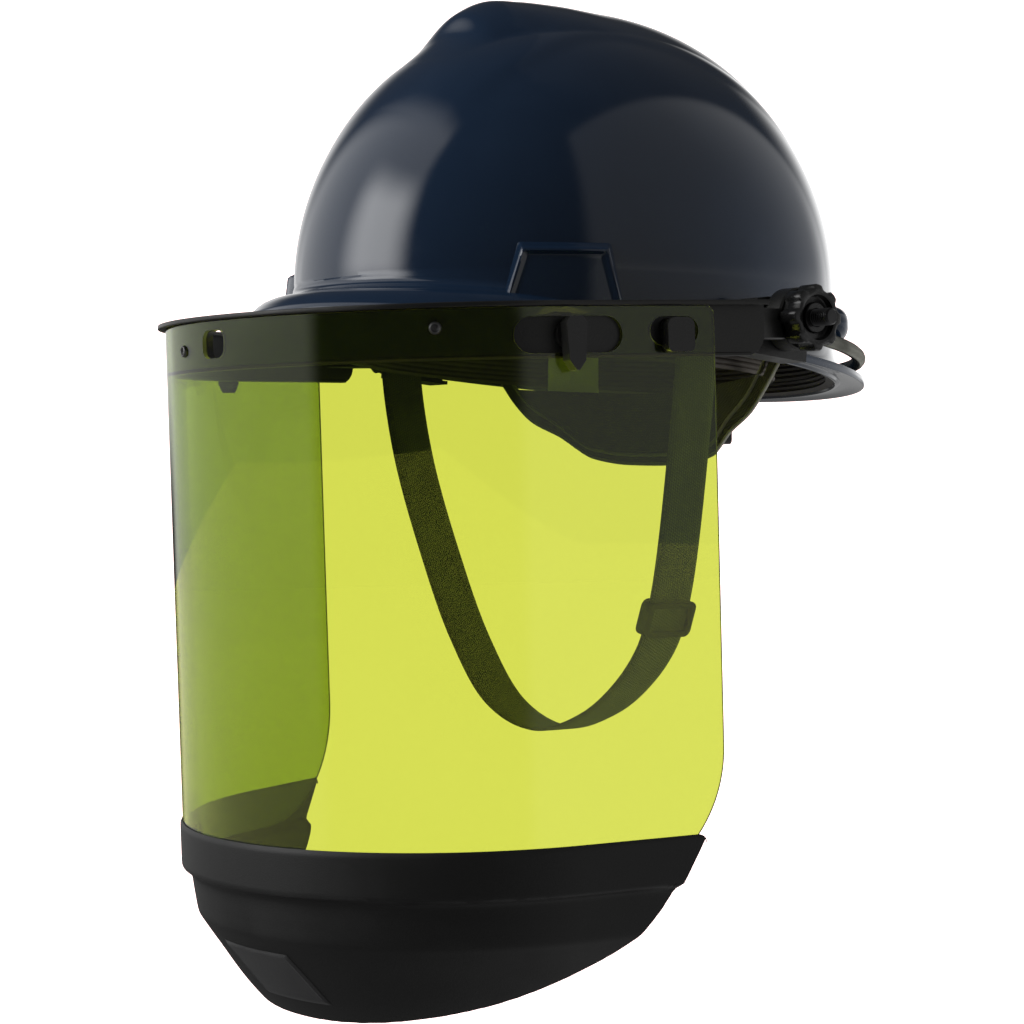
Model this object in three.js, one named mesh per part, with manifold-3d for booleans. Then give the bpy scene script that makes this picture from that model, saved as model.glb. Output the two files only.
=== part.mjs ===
// Face shield on a hard hat: a dome with a ridge and a narrow brim, its suspension and chin strap,
// and a lift-up bracket that carries a wrap-round tinted visor and a chin cup.
// Millimetres, +Z up, the wearer faces -Y and the wearer's left is +X. The origin is the middle of
// the headband at brow height, where the hat sits on the head.
import * as THREE from 'three';
import { mergeVertices } from 'three/addons/utils/BufferGeometryUtils.js';
import Module from 'manifold-3d';

const wasm = await Module();
wasm.setup();

// Running gap between pieces that touch or turn on each other.
const GAP = 0.3;

// Hat shell: a dome a little fuller than half an ellipsoid over a short upright wall, with a brim that
// drops towards the back and a peak that is raised at its root in front. A ridge runs back along the
// crown from a blunt nose; across, it falls off from its lift in the middle to nothing at its foot.
const DOME = { halfWidth: 102.9, halfLength: 123, height: 113.1, fullness: 1.11, baseZ: 26.6, wall: 2.6 };
const DOME_ROWS = { outside: 12, inside: 4 };
const BRIM = { halfWidth: 112, rear: 141.5, front: 147, levelZ: -3.2, slope: -0.086, thick: 3, foot: 0.6 };
const PEAK = { lift: 9, fullAt: -100, power: 4, clear: 0.6, fall: 10 };
const HAT_SIDES = 48;
const RIDGE = [
  { y: -88, lift: 0, foot: 3 },
  { y: -82, lift: 0.8, foot: 17 },
  { y: -75, lift: 2, foot: 20 },
  { y: -67, lift: 4.5, foot: 24 },
  { y: -58, lift: 12, foot: 28 },
  { y: -48, lift: 13.3, foot: 34 },
  { y: -36, lift: 11.3, foot: 40 },
  { y: -20, lift: 8.8, foot: 45 },
  { y: 0, lift: 6.8, foot: 48 },
  { y: 55, lift: 6.8, foot: 54 },
  { y: 95, lift: 0, foot: 56 },
];
const RIDGE_POWER = 1.9;
// Brim section from the shell's wall, over the fillet, round the edge and back under: reach is the share
// of the way out and rise is above the brim's underside.
const BRIM_SECTION = [
  { reach: 0, rise: 16 },
  { reach: 0.07, rise: 10 },
  { reach: 0.22, rise: 6 },
  { reach: 0.5, rise: 3.9 },
  { reach: 0.96, rise: 3 },
  { reach: 1, rise: 1.4 },
  { reach: 0.96, rise: 0 },
  { reach: 0.45, rise: 0.4 },
];
const BRIM_MOUTH_RISE = 1.4;
// Accessory slot cover on each front side: its bottom and top edges, in degrees round from +X.
const SLOT_COVER = [
  { z: 9, from: -49, to: -25, proud: 5.4 },
  { z: 36, from: -45, to: -28, proud: 4.2 },
];
const SLOT_COVER_ROOT = 1.2;

// Suspension inside the shell.
const HEADBAND = { halfWidth: 77, halfLength: 96, thick: 2, frontZ: -3, rearZ: -11, height: 30 };
// Nape strap: a band of webbing slung across behind the head, from one wall of the shell to the other.
const NAPE_THICK = 1.8;
const NAPE_ROWS = [
  { x: 95, y: 35, low: 0, top: 12 },
  { x: 88, y: 36, low: -8, top: 4 },
  { x: 80, y: 37, low: -17, top: -10 },
  { x: 70, y: 39, low: -25.5, top: -11 },
  { x: 55, y: 43, low: -32.5, top: -12 },
  { x: 38, y: 48, low: -42.5, top: -13 },
  { x: 19, y: 51.5, low: -45.3, top: -14 },
  { x: 0, y: 53, low: -45.8, top: -14.5 },
];
const SLIDE = { width: 12, height: 19, depth: 5, x: 39, z: -28, slantDeg: 16 };
const CROWN_STRAP = { width: 19, thick: 1.5, footZ: 12, topZ: 108, spacing: 2.5, inset: 2.8, steps: 24 };
const KEY = { atDeg: [45, 135, 225, 315], halfAngle: 6, bottomZ: 3, topZ: 17 };
const LINER_TAB = { fromDeg: 136, toDeg: 151, bottomZ: -28, topZ: 12, thick: 1 };

// Chin strap: one loop of webbing in an upright plane, its path given by hand from side to side.
const STRAP = { width: 22, thick: 1.6, planeY: -16.6, samples: 48 };
const STRAP_PATH = [
  { x: -96.4, z: 12 },
  { x: -96.0, z: -6 },
  { x: -87, z: -42 },
  { x: -68, z: -84 },
  { x: -46, z: -122 },
  { x: -22, z: -148 },
  { x: 8, z: -157.5 },
  { x: 40, z: -149 },
  { x: 62, z: -134 },
  { x: 74, z: -120 },
  { x: 78.4, z: -110 },
  { x: 82.2, z: -98 },
  { x: 86, z: -80 },
  { x: 92, z: -40 },
  { x: 96.0, z: -6 },
  { x: 96.4, z: 12 },
];
const BUCKLE = { width: 25, length: 15, bar: 2.4, thick: 5.6, channel: 3.4, share: 0.713 };

// Lift pivot: the axis runs along X through the two thumb knobs.
const PIVOT = { y: 7.5, z: 9 };
const BASE = { inX: 108.4, outX: 121.7, front: -9, rear: 20, topZ: 15.5, crown: 2.6 };
const BASE_HOOK = { seatRise: 0.8, lip: 4, drop: 1.6 };
const HUB = { radius: 12.3, inX: 122, outX: 130.7, webDrop: 8 };
// Plan of the web that joins each hub to its arm.
const HUB_WEB = [
  { x: 126, y: -38 },
  { x: 133, y: -18.5 },
  { x: 130.7, y: -6 },
  { x: 130.7, y: 7.5 },
  { x: 122, y: 7.5 },
  { x: 122, y: -10 },
];
const BOLT = { radius: 3.4, inX: 115, outX: 147, bore: 3.8 };
const KNOB = { inX: 131, outX: 140, radius: 12, lobe: 1.1, lobes: 8, dish: 8.4, dishDepth: 3.4, sides: 40 };
const SPRING = { halfWidth: 114.6, halfLength: 134, radius: 2.9, fromY: 21.6, clear: 5 };
const SPRING_FACETS = { along: 28, round: 8 };

// Visor bracket in its own frame, which is pitched nose-down about the pivot.
const PITCH = THREE.MathUtils.degToRad(2.08);
const ARC = { centreY: -61.2, radius: 118.7, steps: 30 };
const FLARE = THREE.MathUtils.degToRad(17.2);
const ARC_END = (Math.PI / 2 - FLARE) * ARC.radius;
const ARM_END = ARC_END + 81;
const BAND = { bottomZ: -5.5, flangeZ: 12.8, topZ: 15.4, outer: 1.8, inner: 4.6, flangeOut: -3, flangeIn: 8 };
const ARM_CORNER = 8;
const WINDOW = { width: 14.5, height: 10.8, radius: 4, z: 4.6 };

// Visor: one bent sheet outside the band, with the band's window cut through it and its lower rear
// corners swept forward.
const VISOR = { end: ARC_END + 58.8, thick: 1.5, topZ: 12.4, bottomZ: -203.4, taper: 1 };
const SWEPT_CORNER = { z: -153, length: 47 };
const LEVER = { s: ARC_END - 1, z: 3, pin: 2.5, collar: 5.4, from: 0.8, proud: 7.4 };
const LEVER_SLOT = { width: 43, height: 13.6, radius: 6.8 };
// Half of the lever's outline, from its top to its tip.
const LEVER_EDGE = [
  { half: 2.6, z: 6.4 },
  { half: 4.2, z: 4 },
  { half: 3.2, z: -9.8 },
  { half: 0.6, z: -13.4 },
];
const STUD = { s: ARC_END + 42, z: 4, width: 11, post: 9.6, height: 12, drop: 2, proud: 6 };
const STUD_SLOT = { width: 20, height: 11, radius: 5.5 };
const RIVETS = [
  { name: 'rivet_front', s: -24, z: 3 },
  { name: 'rivet_left', s: 99.5, z: 6.2 },
  { name: 'rivet_right', s: -99.5, z: 6.2 },
];
const RIVET = { head: 2.4, rise: 1, shank: 1.5 };

// Chin cup: a lip outside the visor's lower edge, then a body that leans in under the chin.
// inset is measured in from the visor's outer face at the band, negative is outside it.
const CUP_END = VISOR.end - 4;
const CUP_PROFILE = [
  { z: -186, inset: -0.8, wall: 1.4 },
  { z: -203.7, inset: -0.9, wall: 1.5 },
  { z: -206.4, inset: 3.8, wall: 2.2 },
  { z: -216, inset: 6, wall: 2.2 },
  { z: -224, inset: 8.4, wall: 2.2 },
  { z: -235, inset: 15, wall: 2.2 },
  { z: -249, inset: 24.2, wall: 2.2 },
  { z: -262, inset: 34.6, wall: 2.2 },
];
// The cup's rear edge in side view, from the lip's rear corner to the lowest point in front.
const CUP_EDGE = [
  { y: -47, z: -184 },
  { y: -57, z: -202 },
  { y: -64, z: -214 },
  { y: -75, z: -226 },
  { y: -96, z: -238.6 },
  { y: -129, z: -251.6 },
  { y: -152, z: -257.6 },
  { y: -172, z: -258 },
  { y: -200, z: -259 },
];
const CUP_RIVET = { s: 92, z: -194 };
const CUP_PANEL = { fromS: -14, toS: 34, lean: 12, topZ: -229, bottomZ: -250, thick: 0.6 };

// Colours and finishes.
const NAVY = { color: 0x101a33, roughness: 0.25, metalness: 0 };
const BLACK_PLASTIC = { color: 0x1a1a1a, roughness: 0.5, metalness: 0 };
const MATTE_BLACK = { color: 0x161616, roughness: 0.75, metalness: 0 };
const WEBBING = { color: 0x24251f, roughness: 0.9, metalness: 0 };
const GREY_PLASTIC = { color: 0x4a4842, roughness: 0.7, metalness: 0 };
const PALE_PLASTIC = { color: 0xb9bda2, roughness: 0.6, metalness: 0 };
const STEEL = { color: 0x8a8c90, roughness: 0.35, metalness: 1 };
const TINT = { color: 0xd6de5a, roughness: 0.08, metalness: 0, transparent: true, opacity: 0.45 };

// A bare position-only geometry from points and triangles, turned to face outwards.
function bodyFrom(points, triangles) {
  const volume = triangles.reduce((sum, [a, b, c]) => {
    const cross = new THREE.Vector3().crossVectors(points[b], points[c]);
    return sum + points[a].dot(cross);
  }, 0);
  const order = volume < 0 ? ([a, b, c]) => [a, c, b] : (triangle) => triangle;
  const geometry = new THREE.BufferGeometry().setFromPoints(points);
  geometry.setIndex(triangles.flatMap(order));
  return geometry;
}

// Closed rings of equal count joined in turn. A ring of one point is a pole, a loop joins the last
// ring to the first, and otherwise the end rings are capped by the triangles given for a section.
function skin(rings, { loop = false, cap = [] } = {}) {
  const points = [];
  const starts = rings.map((ring) => {
    const start = points.length;
    points.push(...ring);
    return start;
  });
  const triangles = [];
  const joints = loop ? rings.length : rings.length - 1;
  for (let r = 0; r < joints; r += 1) {
    const next = (r + 1) % rings.length;
    const count = Math.max(rings[r].length, rings[next].length);
    const at = (ring, i) => starts[ring] + (i % rings[ring].length);
    for (let i = 0; i < count; i += 1) {
      if (rings[r].length > 1) triangles.push([at(r, i), at(r, i + 1), at(next, i)]);
      if (rings[next].length > 1) triangles.push([at(r, i + 1), at(next, i + 1), at(next, i)]);
    }
  }
  const last = starts[rings.length - 1];
  cap.forEach(([a, b, c]) => triangles.push([c, b, a], [last + a, last + b, last + c]));
  return bodyFrom(points, triangles);
}

// A constant-count section carried along stations; section(station) gives flat points and
// place(station, point) puts one in space.
function sweep(stations, section, place, loop = false) {
  const rings = stations.map((station) => section(station).map((point) => place(station, point)));
  return skin(rings, { loop, cap: loop ? [] : capOf(section(stations[0])) });
}

// Triangles that fill a flat outline, wound the same way as the outline.
function capOf(outlinePoints) {
  const turned = THREE.ShapeUtils.area(outlinePoints);
  return THREE.ShapeUtils.triangulateShape(outlinePoints, []).map((triangle) => {
    const own = THREE.ShapeUtils.area(triangle.map((i) => outlinePoints[i]));
    return own * turned < 0 ? [...triangle].reverse() : triangle;
  });
}

// A slab over a patch: surface(u, v, side) gives its two faces, side 0 and side 1.
function slab(surface, uSteps, vSteps) {
  const border = [];
  for (let i = 0; i < uSteps; i += 1) border.push([i, 0]);
  for (let j = 0; j < vSteps; j += 1) border.push([uSteps, j]);
  for (let i = uSteps; i > 0; i -= 1) border.push([i, vSteps]);
  for (let j = vSteps; j > 0; j -= 1) border.push([0, j]);
  const row = uSteps + 1;
  const count = row * (vSteps + 1);
  const points = [];
  for (let side = 0; side < 2; side += 1) {
    for (let j = 0; j <= vSteps; j += 1) {
      for (let i = 0; i <= uSteps; i += 1) points.push(surface(i / uSteps, j / vSteps, side));
    }
  }
  const triangles = [];
  for (let j = 0; j < vSteps; j += 1) {
    for (let i = 0; i < uSteps; i += 1) {
      const [a, b, c, d] = [j * row + i, j * row + i + 1, (j + 1) * row + i + 1, (j + 1) * row + i];
      triangles.push([a, c, b], [a, d, c]);
      triangles.push([a + count, b + count, c + count], [a + count, c + count, d + count]);
    }
  }
  border.forEach(([i, j], k) => {
    const [m, n] = border[(k + 1) % border.length];
    const a = j * row + i;
    const b = n * row + m;
    triangles.push([a, b, b + count], [a, b + count, a + count]);
  });
  return bodyFrom(points, triangles);
}

function toSolid(geometry) {
  const bare = geometry.clone();
  bare.deleteAttribute('normal');
  bare.deleteAttribute('uv');
  const merged = mergeVertices(bare, 1e-4);
  const vertProperties = new Float32Array(merged.attributes.position.array);
  const triVerts = new Uint32Array(merged.index.array);
  return new wasm.Manifold(new wasm.Mesh({ numProp: 3, vertProperties, triVerts }));
}

function toGeometry(solid) {
  const mesh = solid.getMesh();
  const geometry = new THREE.BufferGeometry();
  geometry.setAttribute('position', new THREE.BufferAttribute(mesh.vertProperties, 3));
  geometry.setIndex(new THREE.BufferAttribute(mesh.triVerts, 1));
  return geometry;
}

function join(...geometries) {
  return toGeometry(geometries.map(toSolid).reduce((whole, piece) => whole.add(piece)));
}

function cut(geometry, ...cutters) {
  const whole = toSolid(geometry);
  return toGeometry(cutters.map(toSolid).reduce((left, cutter) => left.subtract(cutter), whole));
}

// Linear look-up in a table of rows.
function lookUp(rows, key, at, column) {
  if (at <= rows[0][key]) return rows[0][column];
  const last = rows[rows.length - 1];
  if (at >= last[key]) return last[column];
  const i = rows.findIndex((row) => row[key] >= at);
  const share = (at - rows[i - 1][key]) / (rows[i][key] - rows[i - 1][key]);
  return THREE.MathUtils.lerp(rows[i - 1][column], rows[i][column], share);
}

function roundedBar(width, height, radius, segments = 2) {
  const [w, h, r] = [width / 2, height / 2, Math.min(radius, width / 2, height / 2)];
  const shape = new THREE.Shape();
  shape.absarc(w - r, -h + r, r, -Math.PI / 2, 0, false);
  shape.absarc(w - r, h - r, r, 0, Math.PI / 2, false);
  shape.absarc(-w + r, h - r, r, Math.PI / 2, Math.PI, false);
  shape.absarc(-w + r, -h + r, r, Math.PI, Math.PI * 1.5, false);
  return new THREE.Shape(shape.getPoints(segments));
}

function extrude(shape, from, to, curveSegments = 5) {
  const geometry = new THREE.ExtrudeGeometry(shape, { depth: to - from, bevelEnabled: false, curveSegments });
  return geometry.translate(0, 0, from);
}

function ellipse(halfWidth, halfLength, angle, z) {
  return new THREE.Vector3(halfWidth * Math.cos(angle), halfLength * Math.sin(angle), z);
}

function range(from, to, steps) {
  return Array.from({ length: steps + 1 }, (_, i) => THREE.MathUtils.lerp(from, to, i / steps));
}

const fullTurn = range(0, 2 * Math.PI, HAT_SIDES).slice(0, HAT_SIDES);
const hat = new THREE.Group();
const visorAssembly = new THREE.Group();

function add(group, name, geometry, finish) {
  const mesh = new THREE.Mesh(geometry, new THREE.MeshStandardMaterial(finish));
  mesh.name = name;
  group.add(mesh);
  return mesh;
}

// Hat shell.
function ridgeLift(x, y) {
  const share = Math.min(Math.abs(x) / lookUp(RIDGE, 'y', y, 'foot'), 1);
  return lookUp(RIDGE, 'y', y, 'lift') * (1 - share ** RIDGE_POWER);
}

function domePoint(angle, elevation, wall) {
  const level = Math.cos(elevation);
  const point = ellipse((DOME.halfWidth - wall) * level, (DOME.halfLength - wall) * level, angle, DOME.baseZ);
  const rise = Math.sqrt(1 - level ** (2 * DOME.fullness));
  point.z += (DOME.height - wall) * rise + ridgeLift(point.x, point.y);
  return point;
}

function brimUnder(y) {
  return BRIM.levelZ + BRIM.slope * y;
}

// Extra height of the brim in front, full at its root and none at its edge.
function peakLift(y, reach) {
  return PEAK.lift * THREE.MathUtils.smoothstep(-y, 0, -PEAK.fullAt) * (1 - reach ** PEAK.power);
}

// The fillet at the brim's root stays below the foot of the dome, which the raised peak would pass.
function brimPoint(angle, reach, rise) {
  const wall = ellipse(DOME.halfWidth + BRIM.foot, DOME.halfLength + BRIM.foot, angle, 0);
  const edge = ellipse(BRIM.halfWidth, Math.sin(angle) < 0 ? BRIM.front : BRIM.rear, angle, 0);
  const point = wall.lerp(edge, reach);
  const crest = DOME.baseZ - PEAK.clear - PEAK.fall * reach;
  point.z = Math.min(brimUnder(point.y) + rise + peakLift(point.y, reach), crest);
  return point;
}

function shellGeometry() {
  const outerRows = range(Math.PI / 2, 0, DOME_ROWS.outside).slice(1);
  const innerRows = range(0, Math.PI / 2, DOME_ROWS.inside).slice(0, -1);
  const rings = [
    [domePoint(0, Math.PI / 2, 0)],
    ...outerRows.map((row) => fullTurn.map((angle) => domePoint(angle, row, 0))),
    ...BRIM_SECTION.map(({ reach, rise }) => fullTurn.map((angle) => brimPoint(angle, reach, rise))),
    fullTurn.map((angle) => {
      const point = ellipse(DOME.halfWidth - DOME.wall, DOME.halfLength - DOME.wall, angle, 0);
      return point.setZ(brimUnder(point.y) + BRIM_MOUTH_RISE + peakLift(point.y, 0));
    }),
    ...innerRows.map((row) => fullTurn.map((angle) => domePoint(angle, row, DOME.wall))),
    [domePoint(0, Math.PI / 2, DOME.wall)],
  ];
  return skin(rings);
}

function slotCover(side) {
  return slab((u, v, face) => {
    const z = THREE.MathUtils.lerp(SLOT_COVER[0].z, SLOT_COVER[1].z, v);
    const [from, to, proud] = ['from', 'to', 'proud'].map((column) => lookUp(SLOT_COVER, 'z', z, column));
    const angle = THREE.MathUtils.degToRad(THREE.MathUtils.lerp(from, to, u));
    const out = face ? proud : -SLOT_COVER_ROOT;
    const point = ellipse(DOME.halfWidth + out, DOME.halfLength + out, angle, z);
    point.x *= side;
    return point;
  }, 6, 2);
}

add(hat, 'hat_shell', join(shellGeometry(), slotCover(1), slotCover(-1)), NAVY);

// Headband: a closed ring, lower at the back.
function headbandZ(angle) {
  return THREE.MathUtils.lerp(HEADBAND.frontZ, HEADBAND.rearZ, (1 + Math.sin(angle)) / 2);
}

const bandSection = (thick, height) => [
  new THREE.Vector2(0, 0),
  new THREE.Vector2(thick, 0),
  new THREE.Vector2(thick, height),
  new THREE.Vector2(0, height),
];

function headbandGeometry() {
  const section = () => bandSection(HEADBAND.thick, HEADBAND.height);
  const place = (angle, point) => ellipse(
    HEADBAND.halfWidth + point.x,
    HEADBAND.halfLength + point.x,
    angle,
    headbandZ(angle) + point.y,
  );
  return sweep(fullTurn, section, place, true);
}

// Nape strap: each station of the band has its own height, the same on both sides.
function napeGeometry() {
  const stations = [...NAPE_ROWS, ...NAPE_ROWS.slice(0, -1).reverse().map((row) => ({ ...row, x: -row.x }))];
  const section = ({ low, top }) => [
    new THREE.Vector2(0, low),
    new THREE.Vector2(NAPE_THICK, low),
    new THREE.Vector2(NAPE_THICK, top),
    new THREE.Vector2(0, top),
  ];
  return sweep(stations, section, ({ x, y }, point) => new THREE.Vector3(x, y + point.x, point.y));
}

add(hat, 'headband', headbandGeometry(), GREY_PLASTIC);
add(hat, 'nape_strap', napeGeometry(), WEBBING);

const slide = extrude(roundedBar(SLIDE.width, SLIDE.height, 2), -SLIDE.depth, 0).rotateX(Math.PI / 2);
slide.rotateZ(-THREE.MathUtils.degToRad(SLIDE.slantDeg));
const slideY = lookUp([...NAPE_ROWS].reverse(), 'x', SLIDE.x, 'y') + NAPE_THICK + 2 * GAP;
add(hat, 'nape_slide', slide, BLACK_PLASTIC).position.set(SLIDE.x, slideY, SLIDE.z);

// Crown straps: two webbing arcs that cross under the dome.
KEY.atDeg.slice(0, 2).forEach((degrees, index) => {
  const turn = THREE.MathUtils.degToRad(degrees);
  const foot = ellipse(HEADBAND.halfWidth - GAP, HEADBAND.halfLength - GAP, turn, 0);
  const across = new THREE.Vector3(foot.y, -foot.x, 0).normalize();
  const reach = foot.length() - CROWN_STRAP.thick - CROWN_STRAP.inset;
  const rise = CROWN_STRAP.topZ - CROWN_STRAP.footZ - index * CROWN_STRAP.spacing;
  const section = () => bandSection(CROWN_STRAP.thick, CROWN_STRAP.width);
  const place = (angle, point) => {
    const along = foot.clone().normalize().multiplyScalar((reach + point.x) * Math.cos(angle));
    along.addScaledVector(across, point.y - CROWN_STRAP.width / 2);
    return along.setZ(CROWN_STRAP.footZ + (rise + point.x) * Math.sin(angle));
  };
  add(hat, `crown_strap_${index + 1}`, sweep(range(0, Math.PI, CROWN_STRAP.steps), section, place), WEBBING);
});

// Hanger keys: plastic lugs from the headband out to the shell's wall.
KEY.atDeg.forEach((degrees, index) => {
  const geometry = slab((u, v, face) => {
    const angle = THREE.MathUtils.degToRad(degrees + (2 * u - 1) * KEY.halfAngle);
    const inner = HEADBAND.thick + GAP;
    const outer = DOME.wall + GAP;
    const near = ellipse(HEADBAND.halfWidth + inner, HEADBAND.halfLength + inner, angle, 0);
    const far = ellipse(DOME.halfWidth - outer, DOME.halfLength - outer, angle, 0);
    return near.lerp(far, face).setZ(THREE.MathUtils.lerp(KEY.bottomZ, KEY.topZ, v));
  }, 3, 1);
  add(hat, `hanger_key_${index + 1}`, geometry, BLACK_PLASTIC);
});

// Liner tab: a pale flap that hangs inside the headband on the wearer's right.
const linerTab = slab((u, v, face) => {
  const angle = THREE.MathUtils.degToRad(THREE.MathUtils.lerp(LINER_TAB.fromDeg, LINER_TAB.toDeg, u));
  const inset = GAP + face * LINER_TAB.thick;
  const z = THREE.MathUtils.lerp(LINER_TAB.bottomZ, LINER_TAB.topZ, v);
  return ellipse(HEADBAND.halfWidth - inset, HEADBAND.halfLength - inset, angle, z);
}, 4, 1);
add(hat, 'liner_tab', linerTab, PALE_PLASTIC);

// Chin strap and its slide buckle.
const strapCurve = new THREE.CatmullRomCurve3(
  STRAP_PATH.map(({ x, z }) => new THREE.Vector3(x, STRAP.planeY, z)),
  false,
  'centripetal',
);

function strapGeometry() {
  const section = () => bandSection(STRAP.thick, STRAP.width);
  const place = (share, point) => {
    const tangent = strapCurve.getTangentAt(share);
    const face = new THREE.Vector3(-tangent.z, 0, tangent.x);
    const centre = strapCurve.getPointAt(share).addScaledVector(face, point.x - STRAP.thick / 2);
    return centre.setY(STRAP.planeY + point.y - STRAP.width / 2);
  };
  return sweep(range(0, 1, STRAP.samples), section, place);
}

function buckleGeometry() {
  const frame = roundedBar(BUCKLE.width, BUCKLE.length, 3);
  const opening = roundedBar(BUCKLE.width - 2 * BUCKLE.bar, BUCKLE.length - 2 * BUCKLE.bar, 1);
  const half = BUCKLE.thick / 2;
  const channel = new THREE.BoxGeometry(STRAP.width + 2 * GAP, BUCKLE.length + 2, BUCKLE.channel);
  return cut(extrude(frame, -half, half), extrude(opening, 0, half + 1), channel);
}

add(hat, 'chin_strap', strapGeometry(), WEBBING);
const strapWay = strapCurve.getTangentAt(BUCKLE.share);
const strapAcross = new THREE.Vector3(0, 1, 0);
const strapFace = new THREE.Vector3().crossVectors(strapAcross, strapWay);
const buckleFrame = new THREE.Matrix4().makeBasis(strapAcross, strapWay, strapFace);
buckleFrame.setPosition(strapCurve.getPointAt(BUCKLE.share));
add(hat, 'strap_buckle', buckleGeometry(), BLACK_PLASTIC).applyMatrix4(buckleFrame);

// Pivot bases sit on the brim at each side; each carries a bolt that the bracket turns on.
function discX(radius, fromX, toX, sides = 24) {
  const disc = new THREE.CylinderGeometry(radius, radius, toX - fromX, sides).rotateZ(Math.PI / 2);
  return disc.translate((fromX + toX) / 2, 0, 0);
}

function baseGeometry() {
  const [seat, lip] = [2 * GAP, -BRIM.thick - 2 * GAP];
  const edge = BRIM.halfWidth + GAP;
  const profile = new THREE.Shape([
    new THREE.Vector2(BASE.inX, seat + BASE_HOOK.seatRise),
    new THREE.Vector2(edge, seat),
    new THREE.Vector2(edge, lip),
    new THREE.Vector2(edge - BASE_HOOK.lip, lip),
    new THREE.Vector2(edge - BASE_HOOK.lip, lip - BASE_HOOK.drop),
    new THREE.Vector2(BASE.outX, lip - BASE_HOOK.drop),
    new THREE.Vector2(BASE.outX, 2 * BASE.topZ),
    new THREE.Vector2(BASE.inX, 2 * BASE.topZ),
  ]);
  const block = extrude(profile, -BASE.rear, -BASE.front).rotateX(Math.PI / 2);
  block.rotateX(Math.atan(BRIM.slope)).translate(0, 0, BRIM.levelZ + BRIM.thick);
  const [front, rear, high] = [BASE.front - BASE.topZ / 2, BASE.rear + BASE.topZ / 2, 4 * BASE.topZ];
  const crown = range(0, 1, 6).map((share) => new THREE.Vector2(
    THREE.MathUtils.lerp(front, rear, share),
    BASE.topZ + BASE.crown * Math.sin(Math.PI * share),
  ));
  const above = new THREE.Shape([new THREE.Vector2(front, high), ...crown, new THREE.Vector2(rear, high)]);
  const topCut = extrude(above, BASE.inX - 1, BASE.outX + 1).rotateX(Math.PI / 2).rotateZ(Math.PI / 2);
  const bore = discX(BOLT.bore, BOLT.inX - GAP, BASE.outX + 1).translate(0, PIVOT.y, PIVOT.z);
  return cut(block, topCut, bore);
}

function knobGeometry() {
  const lobed = range(0, 2 * Math.PI, KNOB.sides).slice(1).map((angle) => {
    const radius = KNOB.radius + KNOB.lobe * Math.cos(KNOB.lobes * angle);
    return new THREE.Vector2(radius * Math.cos(angle), radius * Math.sin(angle));
  });
  const body = extrude(new THREE.Shape(lobed), KNOB.inX, KNOB.outX);
  body.rotateY(Math.PI / 2).rotateX(Math.PI / 2);
  const dish = discX(KNOB.dish, KNOB.outX - KNOB.dishDepth, KNOB.outX + 1);
  const bore = discX(BOLT.bore, KNOB.inX - 1, KNOB.outX + 1);
  return cut(body, dish, bore);
}

// The same piece on the wearer's right, as a mirror image.
function mirrored(geometry) {
  const copy = mergeVertices(geometry.clone().scale(-1, 1, 1));
  const index = Array.from(copy.index.array);
  for (let i = 0; i < index.length; i += 3) [index[i + 1], index[i + 2]] = [index[i + 2], index[i + 1]];
  return copy.setIndex(index);
}

const base = baseGeometry();
const bolt = discX(BOLT.radius, BOLT.inX, BOLT.outX);
const knob = knobGeometry();
[['left', (geometry) => geometry], ['right', mirrored]].forEach(([side, turn]) => {
  add(hat, `pivot_base_${side}`, turn(base), BLACK_PLASTIC);
  add(hat, `pivot_bolt_${side}`, turn(bolt), STEEL).position.set(0, PIVOT.y, PIVOT.z);
  add(hat, `knob_${side}`, turn(knob), BLACK_PLASTIC).position.set(0, PIVOT.y, PIVOT.z);
});

// Retaining spring: runs from one base round the back of the hat, on the brim, to the other.
function springGeometry() {
  const start = Math.asin(SPRING.fromY / SPRING.halfLength);
  const lift = BRIM.thick + SPRING.radius + SPRING.clear;
  const route = range(start, Math.PI - start, 24).map((angle) => {
    const point = ellipse(SPRING.halfWidth, SPRING.halfLength, angle, 0);
    return point.setZ(brimUnder(point.y) + lift);
  });
  const section = new THREE.Shape(range(0, 2 * Math.PI, SPRING_FACETS.round).slice(1).map((angle) => (
    new THREE.Vector2(SPRING.radius * Math.cos(angle), SPRING.radius * Math.sin(angle))
  )));
  const extrudePath = new THREE.CatmullRomCurve3(route);
  return new THREE.ExtrudeGeometry(section, { steps: SPRING_FACETS.along, bevelEnabled: false, extrudePath });
}

add(hat, 'retaining_spring', springGeometry(), STEEL);

// Plan outline of the bracket and visor: s runs along the visor's outer face from the front middle,
// positive to the wearer's left, and inset goes in from that face.
function outline(s, inset) {
  const side = s < 0 ? -1 : 1;
  const angle = Math.min(Math.abs(s), ARC_END) / ARC.radius;
  const extra = Math.max(Math.abs(s) - ARC_END, 0);
  const normal = new THREE.Vector3(side * Math.sin(angle), -Math.cos(angle), 0);
  const along = new THREE.Vector3(side * Math.cos(angle), Math.sin(angle), 0);
  const point = new THREE.Vector3(0, ARC.centreY, 0).addScaledVector(normal, ARC.radius - inset);
  return { point: point.addScaledVector(along, extra), normal };
}

function onOutline(s, flat) {
  return outline(s, flat.x).point.setZ(flat.y);
}

// A frame on the visor's face: x along it, y up, z outwards.
function faceFrame(s, z) {
  const { point, normal } = outline(s, 0);
  const along = new THREE.Vector3(-normal.y, normal.x, 0);
  const frame = new THREE.Matrix4().makeBasis(along, new THREE.Vector3(0, 0, 1), normal);
  return frame.setPosition(point.setZ(z));
}

function throughFace(shape, s, z, from = -9, to = 9) {
  return extrude(shape, from, to).applyMatrix4(faceFrame(s, z));
}

function stationsTo(end) {
  const side = range(ARC_END, end, 5).slice(1);
  return [...side.map((s) => -s).reverse(), ...range(-ARC_END, ARC_END, ARC.steps), ...side];
}

const disc = (radius) => roundedBar(2 * radius, 2 * radius, radius);

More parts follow.
